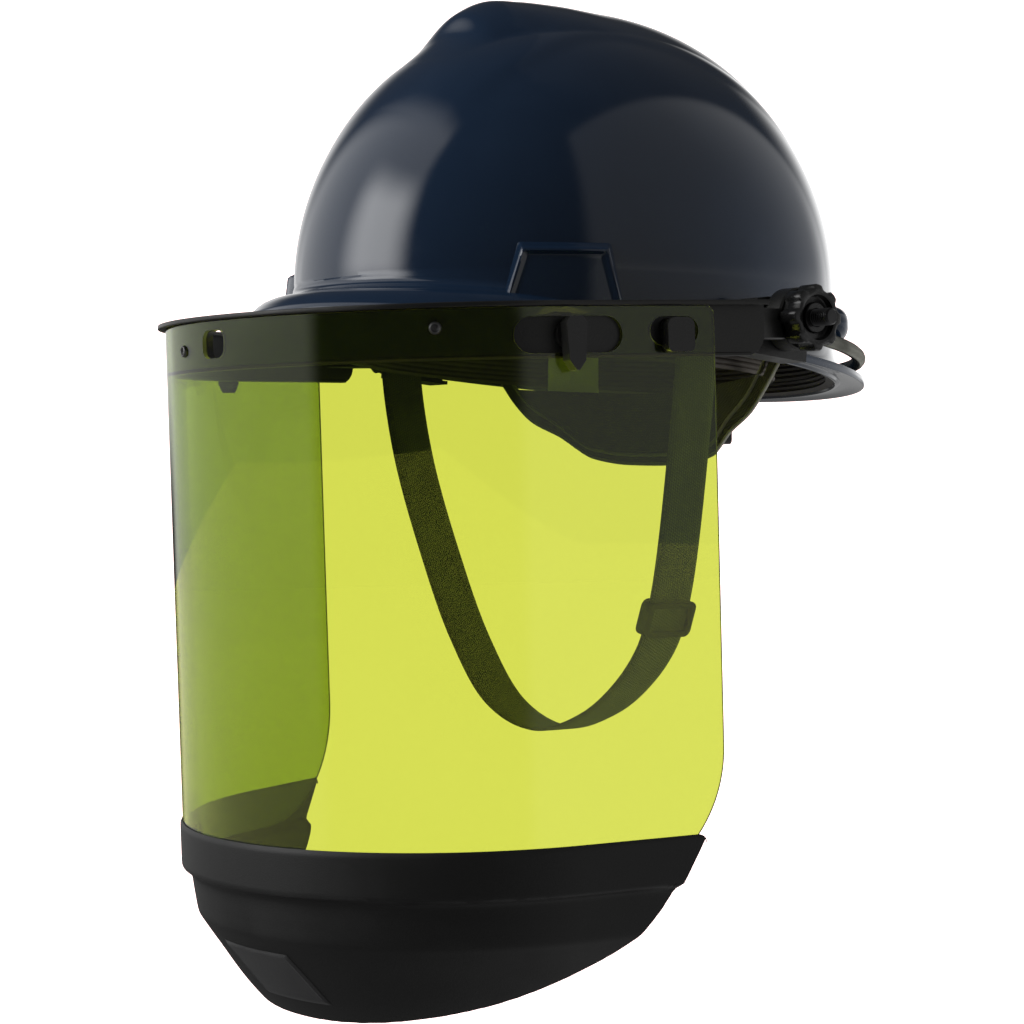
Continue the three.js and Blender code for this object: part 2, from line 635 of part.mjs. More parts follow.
// Bracket band: an upright strip under a top flange, with a hub on each arm for the pivot.
function hubGeometry() {
  const web = new THREE.Shape(HUB_WEB.map(({ x, y }) => new THREE.Vector2(x, y)));
  const arm = extrude(web, PIVOT.z - HUB.webDrop, BAND.flangeZ);
  return join(arm, discX(HUB.radius, HUB.inX, HUB.outX).translate(0, PIVOT.y, PIVOT.z));
}

function bandGeometry() {
  const { bottomZ, flangeZ, topZ, outer, inner, flangeOut, flangeIn } = BAND;
  const section = () => [
    new THREE.Vector2(outer, bottomZ),
    new THREE.Vector2(outer, flangeZ),
    new THREE.Vector2(flangeOut, flangeZ),
    new THREE.Vector2(flangeOut, topZ),
    new THREE.Vector2(flangeIn, topZ),
    new THREE.Vector2(flangeIn, flangeZ),
    new THREE.Vector2(inner, flangeZ),
    new THREE.Vector2(inner, bottomZ),
  ];
  const hub = hubGeometry();
  const strip = join(sweep(stationsTo(ARM_END), section, onOutline), hub, mirrored(hub));
  const round = range(-Math.PI / 2, 0, 5).map((angle) => new THREE.Vector2(
    ARM_CORNER * Math.cos(angle),
    ARM_CORNER * (1 + Math.sin(angle)),
  ));
  const corner = new THREE.Shape([...round, new THREE.Vector2(ARM_CORNER + 1, -1), new THREE.Vector2(0, -1)]);
  const cornerCut = throughFace(corner, ARM_END - ARM_CORNER, bottomZ);
  const bore = discX(BOLT.bore, HUB.inX - 1, HUB.outX + 1).translate(0, PIVOT.y, PIVOT.z);
  return cut(
    strip,
    throughFace(roundedBar(WINDOW.width, WINDOW.height, WINDOW.radius), 0, WINDOW.z),
    throughFace(disc(LEVER.pin + GAP), LEVER.s, LEVER.z),
    throughFace(disc(LEVER.pin + GAP), -LEVER.s, LEVER.z),
    cornerCut,
    mirrored(cornerCut),
    bore,
    mirrored(bore),
  );
}

add(visorAssembly, 'bracket_band', bandGeometry(), BLACK_PLASTIC);

// Visor sheet.
function visorGeometry() {
  const cutStart = VISOR.end - SWEPT_CORNER.length;
  const quarter = range(0, Math.PI / 2, 8).slice(1);
  const swept = quarter.map((angle) => cutStart + SWEPT_CORNER.length * Math.sin(angle));
  const side = swept.filter((s) => s > ARC_END + 1);
  const stations = [...side.map((s) => -s).reverse(), ...range(-ARC_END, ARC_END, ARC.steps), ...side];
  const section = (s) => {
    const past = Math.min(Math.max(Math.abs(s) - cutStart, 0) / SWEPT_CORNER.length, 1);
    const bottom = past > 0
      ? SWEPT_CORNER.z + (VISOR.bottomZ - SWEPT_CORNER.z) * Math.sqrt(1 - past * past)
      : VISOR.bottomZ;
    const inset = (VISOR.taper * (VISOR.topZ - bottom)) / (VISOR.topZ - VISOR.bottomZ);
    return [
      new THREE.Vector2(inset, bottom),
      new THREE.Vector2(inset + VISOR.thick, bottom),
      new THREE.Vector2(VISOR.thick, VISOR.topZ),
      new THREE.Vector2(0, VISOR.topZ),
    ];
  };
  const slots = [1, -1].flatMap((sign) => [
    throughFace(roundedBar(LEVER_SLOT.width, LEVER_SLOT.height, LEVER_SLOT.radius), sign * LEVER.s, LEVER.z),
    throughFace(roundedBar(STUD_SLOT.width, STUD_SLOT.height, STUD_SLOT.radius), sign * STUD.s, STUD.z),
    throughFace(disc(RIVET.shank + GAP), sign * CUP_RIVET.s, CUP_RIVET.z),
  ]);
  const rivetHoles = RIVETS.map(({ s, z }) => throughFace(disc(RIVET.shank + GAP), s, z));
  const window = throughFace(roundedBar(WINDOW.width, WINDOW.height, WINDOW.radius), 0, WINDOW.z);
  return cut(sweep(stations, section, onOutline), window, ...slots, ...rivetHoles);
}

add(visorAssembly, 'visor', visorGeometry(), TINT);

// Turn levers, studs and rivets that hold the visor to the band.
function leverGeometry() {
  const edge = LEVER_EDGE.map(({ half, z }) => new THREE.Vector2(half, z));
  const otherEdge = LEVER_EDGE.map(({ half, z }) => new THREE.Vector2(-half, z)).reverse();
  const blade = new THREE.Shape([...edge, ...otherEdge]);
  const collar = extrude(disc(LEVER.collar), -BAND.outer + GAP, LEVER.from + GAP);
  const pin = extrude(disc(LEVER.pin), -BAND.inner, 0);
  return join(extrude(blade, LEVER.from, LEVER.proud), collar, pin);
}

function seatOn(mesh, s, z) {
  mesh.applyMatrix4(faceFrame(s, z));
}

[['left', 1], ['right', -1]].forEach(([side, sign]) => {
  seatOn(add(visorAssembly, `turn_lever_${side}`, leverGeometry(), BLACK_PLASTIC), sign * LEVER.s, LEVER.z);
  const post = extrude(roundedBar(STUD.width, STUD.post, 3), -BAND.outer + GAP, STUD.proud);
  const catchPlate = extrude(roundedBar(STUD.width, STUD.height, 2), 2 * GAP, STUD.proud);
  catchPlate.translate(0, -STUD.drop, 0);
  const stud = join(post, catchPlate);
  seatOn(add(visorAssembly, `stud_${side}`, stud, BLACK_PLASTIC), sign * STUD.s, STUD.z);
});

function rivetGeometry() {
  const shank = extrude(disc(RIVET.shank), -BAND.outer + GAP, 2 * GAP);
  const head = extrude(disc(RIVET.head), GAP, RIVET.rise);
  return join(shank, head);
}

RIVETS.forEach(({ name, s, z }) => {
  seatOn(add(visorAssembly, name, rivetGeometry(), STEEL), s, z);
});

// Chin cup.
function cupGeometry() {
  const section = () => {
    const face = CUP_PROFILE.map(({ z, inset }) => new THREE.Vector2(inset, z));
    const back = CUP_PROFILE.map(({ z, inset, wall }) => new THREE.Vector2(inset + wall, z)).reverse();
    return [...face, ...back];
  };
  const wall = sweep(stationsTo(CUP_END), section, onOutline);
  const knife = new THREE.Shape([
    ...CUP_EDGE.map(({ y, z }) => new THREE.Vector2(y, z)),
    new THREE.Vector2(CUP_EDGE[CUP_EDGE.length - 1].y, 2 * CUP_EDGE[0].z),
    new THREE.Vector2(-CUP_EDGE[0].y, 2 * CUP_EDGE[0].z),
    new THREE.Vector2(-CUP_EDGE[0].y, CUP_EDGE[0].z),
  ]);
  const across = extrude(knife, -HUB.outX, HUB.outX).rotateX(Math.PI / 2).rotateZ(Math.PI / 2);
  return cut(wall, across);
}

add(visorAssembly, 'chin_cup', cupGeometry(), MATTE_BLACK);

const cupPanel = slab((u, v, face) => {
  const z = THREE.MathUtils.lerp(CUP_PANEL.bottomZ, CUP_PANEL.topZ, v);
  const s = THREE.MathUtils.lerp(CUP_PANEL.fromS, CUP_PANEL.toS, u) - CUP_PANEL.lean * v;
  const profile = [...CUP_PROFILE].reverse();
  const inset = lookUp(profile, 'z', z, 'inset') - GAP - face * CUP_PANEL.thick;
  return outline(s, inset).point.setZ(z);
}, 6, 3);
add(visorAssembly, 'cup_panel', cupPanel, BLACK_PLASTIC);

[['left', 1], ['right', -1]].forEach(([side, sign]) => {
  const rivet = rivetGeometry().rotateY(Math.PI).translate(0, 0, -VISOR.thick - VISOR.taper);
  seatOn(add(visorAssembly, `cup_rivet_${side}`, rivet, STEEL), sign * CUP_RIVET.s, CUP_RIVET.z);
});

// The bracket's own frame, tipped nose-down about the pivot line.
const tipped = new THREE.Group();
tipped.position.set(0, PIVOT.y, PIVOT.z);
tipped.rotation.x = PITCH;
visorAssembly.position.set(0, -PIVOT.y, -PIVOT.z);
tipped.add(visorAssembly);

const faceShield = new THREE.Group();
faceShield.add(hat, tipped);

export default faceShield;
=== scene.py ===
import math
from types import SimpleNamespace as Sizes

import bmesh
import bpy
import numpy as np
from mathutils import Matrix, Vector
from mathutils.geometry import delaunay_2d_cdt


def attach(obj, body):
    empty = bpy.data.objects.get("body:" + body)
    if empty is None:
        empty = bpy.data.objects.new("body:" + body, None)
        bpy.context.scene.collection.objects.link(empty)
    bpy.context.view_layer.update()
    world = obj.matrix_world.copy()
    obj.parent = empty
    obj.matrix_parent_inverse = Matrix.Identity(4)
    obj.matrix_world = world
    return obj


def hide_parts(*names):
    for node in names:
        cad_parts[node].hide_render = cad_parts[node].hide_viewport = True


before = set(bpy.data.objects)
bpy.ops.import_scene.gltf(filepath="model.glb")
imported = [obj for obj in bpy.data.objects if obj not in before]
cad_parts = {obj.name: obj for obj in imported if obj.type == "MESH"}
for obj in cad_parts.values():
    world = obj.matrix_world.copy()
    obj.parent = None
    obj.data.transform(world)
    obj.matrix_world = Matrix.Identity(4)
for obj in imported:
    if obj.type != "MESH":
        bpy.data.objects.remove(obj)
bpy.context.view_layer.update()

# Studio. The face shield hangs in front of an overexposed white sweep, between a tall pale panel on the
# right and a wall with one bright strip on the left. The camera stands level with the lower face.
CAMERA = Sizes(turn=50.382, away=1.0516, right=-0.0238, up=-0.0644, sensor=36, lens=86.18,
               shift=-0.0049)
CAMERA_TURN = math.radians(CAMERA.turn)
TO_CAMERA = Vector((math.sin(CAMERA_TURN), -math.cos(CAMERA_TURN), 0))
TO_RIGHT = Vector((math.cos(CAMERA_TURN), math.sin(CAMERA_TURN), 0))
scene = bpy.context.scene


def placed(name, data):
    thing = bpy.data.objects.new(name, data)
    scene.collection.objects.link(thing)
    return thing


def aimed(name, data, away, right, up, way=None):
    """A camera or lamp in the room, pointed along a way, or else at the middle of the room."""
    thing = placed(name, data)
    thing.location = TO_CAMERA * away + TO_RIGHT * right + Vector((0, 0, up))
    thing.rotation_mode = "QUATERNION"
    thing.rotation_quaternion = (way or -thing.location).to_track_quat("-Z", "Y")
    return thing


camera_data = bpy.data.cameras.new("studio_camera")
camera_data.sensor_width = CAMERA.sensor
camera_data.lens = CAMERA.lens
camera_data.shift_y = CAMERA.shift
scene.camera = aimed("studio_camera", camera_data, CAMERA.away, CAMERA.right, CAMERA.up, -TO_CAMERA)
scene.view_settings.view_transform = "Standard"

world = bpy.data.worlds.new("white_sweep")
scene.world = world
world.use_nodes = True
sky = world.node_tree
sky_way = sky.nodes.new("ShaderNodeTexCoord").outputs["Generated"]
SWEEP_WHITE = 1.93
SWEEP_TINT = (1.27, 1.0, 0.98)


def number(tree, operation, first, second=0.0):
    """A number worked out from two numbers or sockets: the socket."""
    node = tree.nodes.new("ShaderNodeMath")
    node.operation = operation
    for socket, value in zip(node.inputs, (first, second)):
        if isinstance(value, (int, float)):
            socket.default_value = value
        else:
            tree.links.new(value, socket)
    return node.outputs["Value"]


def preset(node, **values):
    """Sets a node's inputs; an underscore stands for a space in an input's name."""
    for socket, value in values.items():
        node.inputs[socket.replace("_", " ")].default_value = value


def towards(way):
    lean = sky.nodes.new("ShaderNodeVectorMath")
    lean.operation = "DOT_PRODUCT"
    lean.inputs[1].default_value = way
    sky.links.new(sky_way, lean.inputs[0])
    return lean.outputs["Value"]


def mapped(tree, value, start, end, low=0.0, high=1.0, curve="LINEAR"):
    """A value carried from the range start to end onto the range low to high: the socket."""
    node = tree.nodes.new("ShaderNodeMapRange")
    node.interpolation_type = curve
    preset(node, From_Min=start, From_Max=end, To_Min=low, To_Max=high)
    tree.links.new(value, node.inputs["Value"])
    return node.outputs["Result"]


def varied(tree, fac, clean, marked, socket):
    """A colour that runs from clean to marked as fac goes from 0 to 1, into a socket."""
    mix = tree.nodes.new("ShaderNodeMix")
    mix.data_type = "RGBA"
    preset(mix, A=(*clean, 1), B=(*marked, 1))
    tree.links.new(fac, mix.inputs["Factor"])
    tree.links.new(mix.outputs["Result"], socket)


def new_material(name):
    """A new material, its node tree and its main shader."""
    material = bpy.data.materials.new(name)
    material.use_nodes = True
    return material, material.node_tree, material.node_tree.nodes["Principled BSDF"]


def fade(value, start, end):
    """0 at start and 1 at end, eased between."""
    return mapped(sky, value, start, end, curve="SMOOTHSTEP")


def under_top(turn, height, softness):
    """1 below the top edge of an upright panel that stands across a turn from the camera."""
    way = TO_CAMERA * math.cos(math.radians(turn)) + TO_RIGHT * math.sin(math.radians(turn))
    room = number(sky, "SUBTRACT", number(sky, "MULTIPLY", towards(way), height), towards((0, 0, 1)))
    return fade(room, 0, softness)


# Each light is a level and its fades, with the turn to the right of the camera and the rise above level.
turn_from_camera = number(sky, "ARCTAN2", towards(TO_RIGHT), towards(TO_CAMERA))
turned = number(sky, "MULTIPLY", turn_from_camera, 180 / math.pi)
raised_by = towards((0, 0, 1))
over_floor = fade(raised_by, -0.02, 0.06)
lights = {
    "left_wall": (0.72, fade(turned, -51, -60), under_top(-72, 2.3, 0.5), fade(raised_by, -0.32, 0.02)),
    "left_strip": (3.0, fade(turned, -50, -68), fade(turned, -104, -82), fade(raised_by, 0.0, 0.16),
                   fade(raised_by, 0.68, 0.46)),
    "right_panel": (0.2, fade(turned, 23, 30), under_top(65, 2.2, 0.16)),
    "near_panel": (0.2, fade(turned, 21, 30), fade(raised_by, 0.16, 0.06), fade(raised_by, -0.3, -0.15)),
    "right_far": (0.2, fade(turned, 85, 150), under_top(65, 2.2, 0.25)),
    "sweep_left": (0.8, fade(turned, -142, -164), fade(raised_by, 0.55, 0.2), over_floor),
    "sweep_right": (1.25, fade(turned, 132, 160), fade(raised_by, 0.5, 0.15), over_floor),
    "floor_right": (0.07, fade(turned, 132, 160), fade(raised_by, 0.0, -0.08)),
    "ceiling": (0.02, fade(turned, 40, 110), fade(raised_by, 0.5, 0.75)),
    "ground": (0.1, fade(raised_by, -0.05, -0.6)),
}
ROOM_GLOW = 0.045
glow = ROOM_GLOW
for level, *fades in lights.values():
    for part in fades:
        level = number(sky, "MULTIPLY", part, level)
    glow = number(sky, "ADD", level, glow)
# White shows only where it is seen directly or through a clear sheet, not by light that has bounced.
path = sky.nodes.new("ShaderNodeLightPath").outputs
bounces = number(sky, "ADD", path["Diffuse Depth"], path["Glossy Depth"])
seen = number(sky, "MAXIMUM", path["Is Camera Ray"], path["Is Transmission Ray"])
looked_at = number(sky, "MULTIPLY", seen, number(sky, "LESS_THAN", bounces, 0.5))
white = number(sky, "MULTIPLY", looked_at, SWEEP_WHITE)
backdrop = sky.nodes["Background"]
varied(sky, looked_at, (1, 1, 1), SWEEP_TINT, backdrop.inputs["Color"])
sky.links.new(number(sky, "MAXIMUM", white, glow), backdrop.inputs["Strength"])

FILLS = [
    # name, right, towards camera, up, size, watts
    ("right_fill", 1.25, -0.35, -0.1, 1.0, 16),
    ("left_fill", -1.1, 0.3, 0.9, 0.9, 20),
]
for name, right, away, up, size, watts in FILLS:
    lamp = bpy.data.lights.new(name, "AREA")
    lamp.size = size
    lamp.energy = watts
    fill = aimed(name, lamp, away, right, up)
    fill.visible_camera = fill.visible_glossy = fill.visible_transmission = False

FLOOR = Sizes(half=9, level=-0.46)
floor_mesh = bpy.data.meshes.new("pale_floor")
floor_corners = [(x * FLOOR.half, y * FLOOR.half, FLOOR.level)
                 for x, y in ((-1, -1), (1, -1), (1, 1), (-1, 1))]
floor_mesh.from_pydata(floor_corners, [], [(0, 1, 2, 3)])
floor = placed("pale_floor", floor_mesh)
floor.visible_diffuse = floor.visible_glossy = floor.visible_shadow = False
floor_paint, _, floor_shader = new_material("pale_floor")
preset(floor_shader, Base_Color=(0.03, 0.03, 0.03, 1), Specular_IOR_Level=0.0,
       Emission_Color=(*SWEEP_TINT, 1), Emission_Strength=SWEEP_WHITE)
floor_mesh.materials.append(floor_paint)


# Hat shell. One moulding in glossy navy plastic: a full dome with a ridge on a low shelf, a narrow brim
# that drops to the back and rises to the dome in front, a framed slot cover on each front side and a
# boss behind each pivot. Its inner wall is ribbed and duller.
# In each table, rx and ry are half the width and half the length of an oval.
DOME = Sizes(rx=102.9, ry=123.0, height=113.1, full=1.11, base=26.6, wall=2.6)
BRIM = Sizes(rx=112.0, rear=141.5, front=147.0, level=-3.2, slope=-0.086, root=0.6,
             mouth=1.4)
PEAK = Sizes(lift=9.0, full_at=-100.0, power=4, tight=0.53)
RIDGE_Y = [-88, -82, -75, -67, -58, -48, -36, -20, 0, 55, 95]
RIDGE_LIFT = [0, 0.8, 2, 4.5, 12, 13.3, 11.3, 8.8, 6.8, 6.8, 0]
RIDGE_FOOT = [3, 17, 20, 24, 28, 34, 40, 45, 48, 54, 56]
RIDGE_POWER = 1.9
SHELF_Y = [-95, -76, -56, -36, -21, 4, 34, 60, 95]
SHELF_FOOT = [43, 47.7, 51, 50, 51.4, 59, 65, 66, 60]
SHELF_ENDS_Y = [-100, -72, 50, 95]
SHELF_ENDS = [0, 1, 1, 0]
SHELF = Sizes(lift=1.6, edge=6.0, corner=0.3)
FILLET = Sizes(reach=0.45, height=12.3, foot=3.7)
BRIM_REACH = [0.45, 0.88, 0.95, 0.99, 1, 0.99, 0.96, 0.5, 0.2, 0.12, 0.04, 0]
BRIM_RISE = [3.7, 3.1, 3.3, 2.9, 1.6, 0.5, 0, 0.8, 0.9, -0.4, -0.6, 0.4]
# Slot cover at its lower and upper edge: height, first and last turn in degrees, how proud.
COVER_EDGES = ((9, -49, -25, 7.4), (36, -45, -28, 6.6))
COVER = Sizes(height=27, mm_per_degree=1.95, slope=2.4, corner=0.35, bead=1.2, bead_in=2.2, bead_width=1.5)
SUNK = 1.4
BOSS = Sizes(turn=55, spread=8, z=15, half_height=8.5, proud=7.5)
WALL_RIB = Sizes(pitch=2.1, depth=0.3)
SHELL_COUNT = Sizes(round=264, dome=132, fillet=18, brim=45, wall=70, lining=36)
NEAR_TOP = 89.5


def eased(keys, values, at):
    """Smooth curve through a short table, without overshoot."""
    x, y = np.asarray(keys, float), np.asarray(values, float)
    at = np.clip(np.asarray(at, float), x[0], x[-1])
    pitch = np.diff(y) / np.diff(x)
    slope = np.zeros_like(y)
    slope[0], slope[-1] = pitch[0], pitch[-1]
    rising = pitch[:-1] * pitch[1:] > 0
    total = np.where(rising, pitch[:-1] + pitch[1:], 1)
    slope[1:-1] = np.where(rising, 2 * pitch[:-1] * pitch[1:] / total, 0)
    i = np.clip(np.searchsorted(x, at, side="right") - 1, 0, len(x) - 2)
    h = x[i + 1] - x[i]
    t = (at - x[i]) / h
    start = (1 + 2 * t) * (1 - t) ** 2 * y[i] + t * (1 - t) ** 2 * h * slope[i]
    return start + t**2 * (3 - 2 * t) * y[i + 1] + t**2 * (t - 1) * h * slope[i + 1]


def rounded_step(u, corner):
    """0 below 0, 1 above 1 and straight between, with both corners eased."""
    low = 0.5 * (u + np.sqrt(u * u + corner * corner))
    return 0.5 * (low + 1 - np.sqrt((low - 1) ** 2 + corner * corner))


def oval(ring, out, turn, z):
    """Points on an oval ring, at a distance out from it."""
    return np.stack([(ring.rx + out) * np.cos(turn), (ring.ry + out) * np.sin(turn), z], axis=-1)


def full_turn(count):
    return np.linspace(0, math.tau, count, endpoint=False)


def ridge_lift(x, y):
    """Height of the ridge over the plain dome: a broad low shelf with the ridge proper on it."""
    share = np.minimum(np.abs(x) / np.interp(y, RIDGE_Y, RIDGE_FOOT), 1)
    shelf = SHELF.lift * eased(SHELF_ENDS_Y, SHELF_ENDS, y)
    ridge = np.maximum(eased(RIDGE_Y, RIDGE_LIFT, y) - shelf, 0)
    step = rounded_step((eased(SHELF_Y, SHELF_FOOT, y) - np.abs(x)) / SHELF.edge, SHELF.corner)
    return ridge * (1 - share**RIDGE_POWER) + shelf * step


def dome_row(turn, elevation, wall):
    level = math.cos(elevation)
    x = (DOME.rx - wall) * level * np.cos(turn)
    y = (DOME.ry - wall) * level * np.sin(turn)
    rise = (DOME.height - wall) * math.sqrt(1 - level ** (2 * DOME.full))
    return np.stack([x, y, DOME.base + rise + ridge_lift(x, y)], axis=1)


def peak_lift(y, reach):
    """Extra height of the brim in front, full at its root and none at its edge."""
    share = np.clip(y / PEAK.full_at, 0, 1)
    return PEAK.lift * share**2 * (3 - 2 * share) * (1 - reach ** PEAK.power)


def brim_row(turn, reach, rise):
    """A ring of the brim, from its root at reach 0 to its edge at reach 1, with a tighter fillet in front."""
    edge_length = np.where(np.sin(turn) < 0, BRIM.front, BRIM.rear)
    x = ((DOME.rx + BRIM.root) * (1 - reach) + BRIM.rx * reach) * np.cos(turn)
    y = ((DOME.ry + BRIM.root) * (1 - reach) + edge_length * reach) * np.sin(turn)
    tighter = max(rise - FILLET.foot, 0) * PEAK.tight * peak_lift(y, 0) / PEAK.lift
    z = BRIM.level + BRIM.slope * y + rise - tighter + peak_lift(y, reach)
    return np.stack([x, y, z], axis=1)


def wall_row(turn, share):
    """The ribbed inner wall, from the mouth of the brim at share 0 up to the dome at share 1."""
    y = (DOME.ry - DOME.wall) * np.sin(turn)
    mouth = BRIM.level + BRIM.slope * y + peak_lift(y, 0) + BRIM.mouth
    z = mouth + (DOME.base - mouth) * share
    rib = WALL_RIB.depth * np.cos(math.tau * (z - mouth) / WALL_RIB.pitch) * (share < 1)
    return oval(DOME, -DOME.wall - rib, turn, z)


def shell_rows():
    """Rings from the top of the dome down, round the brim's edge, up the ribbed wall and back to the top."""
    turn = full_turn(SHELL_COUNT.round)
    bend = np.linspace(0, math.pi / 2, SHELL_COUNT.fillet)[:-1]
    fillet_reach = FILLET.reach * (1 - np.cos(bend))
    fillet_rise = FILLET.foot + FILLET.height * (1 - np.sin(bend))
    steps = np.linspace(0, len(BRIM_REACH) - 1, SHELL_COUNT.brim)
    reach = np.concatenate([fillet_reach, eased(range(len(BRIM_REACH)), BRIM_REACH, steps)])
    rise = np.concatenate([fillet_rise, eased(range(len(BRIM_RISE)), BRIM_RISE, steps)])
    fall = np.radians(np.linspace(NEAR_TOP, 0, SHELL_COUNT.dome))
    climb = np.radians(np.linspace(0, NEAR_TOP, SHELL_COUNT.lining))[1:]
    rows = [dome_row(turn, e, 0) for e in fall]
    rows += [brim_row(turn, a, b) for a, b in zip(reach, rise)]
    rows += [wall_row(turn, share) for share in np.linspace(0, 1, SHELL_COUNT.wall)]
    rows += [dome_row(turn, e, DOME.wall) for e in climb]
    return np.array(rows)


def grid_faces(grid, start=0, ring=False):
    """Quads over a grid of points; a ring joins its last column to its first."""
    rows, columns = grid.shape[:2]
    net = start + np.arange(rows * columns).reshape(rows, columns)
    if ring:
        net = np.hstack([net, net[:, :1]])
    corners = [net[:-1, :-1], net[:-1, 1:], net[1:, 1:], net[1:, :-1]]
    return np.stack(corners, axis=-1).reshape(-1, 4).tolist()


def capped_faces(rings):
    """Faces over a stack of rings, with a cap on the first and on the last."""
    count, size = rings.shape[:2]
    caps = [list(range(size)), list(range((count - 1) * size, count * size))]
    return grid_faces(rings, ring=True) + caps


def slot_cover(side):
    """The framed cover as a patch that dips under the shell along its border."""
    u, v = np.meshgrid(np.linspace(-0.06, 1.06, 70), np.linspace(-0.05, 1.08, 46))
    z, first, last, proud = (low + (high - low) * v for low, high in zip(*COVER_EDGES))
    turn = np.radians(first + (last - first) * u)
    to_sides = np.minimum(u, 1 - u) * (last - first) * COVER.mm_per_degree
    border = np.minimum(to_sides, (1 - v) * COVER.height)
    flank = rounded_step((border + COVER.slope / 2) / COVER.slope, COVER.corner)
    bead = COVER.bead * np.exp(-(((border - COVER.bead_in) / COVER.bead_width) ** 2))
    out = flank * (proud + SUNK) - SUNK + bead
    return oval(DOME, out, turn, z) * [side, 1, 1]


def pivot_boss(side):
    """A rounded boss on the shell's wall behind the pivot block."""
    radius, around_it = np.meshgrid(np.linspace(0.02, 1, 18), np.linspace(0, math.tau, 48))
    out = (BOSS.proud + SUNK) * np.sqrt(1 - radius**3) - SUNK
    turn = np.radians(BOSS.turn + BOSS.spread * radius * np.cos(around_it))
    z = BOSS.z + BOSS.half_height * radius * np.sin(around_it)
    return oval(DOME, out, turn, z) * [side, 1, 1]


def node_group(name, inputs, outputs):
    """An empty shader group with named number sockets: the group, its input node and its output node."""
    group = bpy.data.node_groups.new(name, "ShaderNodeTree")
    for socket, value in inputs.items():
        made = group.interface.new_socket(socket, in_out="INPUT", socket_type="NodeSocketFloat")
        made.default_value = value
    for socket in outputs:
        group.interface.new_socket(socket, in_out="OUTPUT", socket_type="NodeSocketFloat")
    return group, group.nodes.new("NodeGroupInput"), group.nodes.new("NodeGroupOutput")


def spotted(tree, scale, detail, low, high):
    """Noise in the piece's own space, spread from low to high onto 0 to 1: the noise and the socket."""
    place = tree.nodes.new("ShaderNodeTexCoord")
    noise = tree.nodes.new("ShaderNodeTexNoise")
    preset(noise, Scale=scale, Detail=detail)
    tree.links.new(place.outputs["Object"], noise.inputs["Vector"])
    return noise, mapped(tree, noise.outputs["Fac"], low, high)


# Surface of a moulding, shared by every plastic piece: a fine grain and patches of handling marks.
MOULDED, moulded_in, moulded_out = node_group("moulded_surface", {"Grain Scale": 900}, ["Grain", "Marks"])
fine_noise, fine_grain = spotted(MOULDED, 900, 2, 0.3, 0.7)
_, hand_marks = spotted(MOULDED, 32, 5, 0.46, 0.72)
MOULDED.links.new(moulded_in.outputs["Grain Scale"], fine_noise.inputs["Scale"])
MOULDED.links.new(fine_grain, moulded_out.inputs["Grain"])
MOULDED.links.new(hand_marks, moulded_out.inputs["Marks"])
GRAIN_DEPTH = 0.0003
COAT_ROUGHNESS = 0.04


def ranged(tree, fac, low, high, socket):
    tree.links.new(mapped(tree, fac, 0, 1, low, high), socket)


def raised(tree, height, depth, strength, shader):
    bump = tree.nodes.new("ShaderNodeBump")
    preset(bump, Distance=depth, Strength=strength)
    tree.links.new(height, bump.inputs["Height"])
    tree.links.new(bump.outputs["Normal"], shader.inputs["Normal"])


def plastic(name, clean, marked, smooth, rough, grain, strength, coat=0.0):
    """A moulded plastic: its two colours, its roughness range, its grain per metre and its coat."""
    material, tree, shader = new_material(name)
    surface = tree.nodes.new("ShaderNodeGroup")
    surface.node_tree = MOULDED
    preset(surface, Grain_Scale=grain)
    varied(tree, surface.outputs["Marks"], clean, marked, shader.inputs["Base Color"])
    ranged(tree, surface.outputs["Marks"], smooth, rough, shader.inputs["Roughness"])
    raised(tree, surface.outputs["Grain"], GRAIN_DEPTH, strength, shader)
    preset(shader, Coat_Weight=coat, Coat_Roughness=COAT_ROUGHNESS)
    return material


def make_piece(name, points, faces, material, body, nodes=(), crease=35):
    """A mesh in millimetres that rides on a body and stands for CAD nodes."""
    mesh = bpy.data.meshes.new(name)
    mesh.from_pydata((np.asarray(points, float).reshape(-1, 3) * 0.001).tolist(), [], faces)
    work = bmesh.new()
    work.from_mesh(mesh)
    bmesh.ops.remove_doubles(work, verts=work.verts, dist=1e-6)
    bmesh.ops.recalc_face_normals(work, faces=work.faces)
    work.to_mesh(mesh)
    work.free()
    mesh.shade_smooth()
    mesh.set_sharp_from_angle(angle=math.radians(crease))
    mesh.materials.append(material)
    piece = placed(name, mesh)
    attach(piece, body)
    if nodes:
        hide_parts(*nodes)
    return piece


navy_gloss = plastic(
    "navy_gloss", (0.0065, 0.0155, 0.034), (0.008, 0.018, 0.038), 0.09, 0.16, 420, 0.01, coat=0.5
)
shell = shell_rows()
shell_faces = capped_faces(shell)
shell_points = [shell.reshape(-1, 3)]
for side in (1, -1):
    for patch in (slot_cover(side), pivot_boss(side)):
        shell_faces += grid_faces(patch, start=sum(len(p) for p in shell_points))
        shell_points.append(patch.reshape(-1, 3))
shell_points = np.concatenate(shell_points)
hat = make_piece("shell", shell_points, shell_faces, navy_gloss, "hat", ["hat_shell"])
ribbed_wall = plastic("ribbed_wall", (0.05, 0.045, 0.04), (0.08, 0.07, 0.06), 0.5, 0.65, 1400, 0.1)
hat.data.materials.append(ribbed_wall)
for face in hat.data.polygons:
    x, y, z = face.center * 1000
    within = math.hypot(x / (DOME.rx - 1), y / (DOME.ry - 1)) < 1
    faces_in = face.normal.x * x + face.normal.y * y < 0
    face.material_index = int(within and z < DOME.base and faces_in)


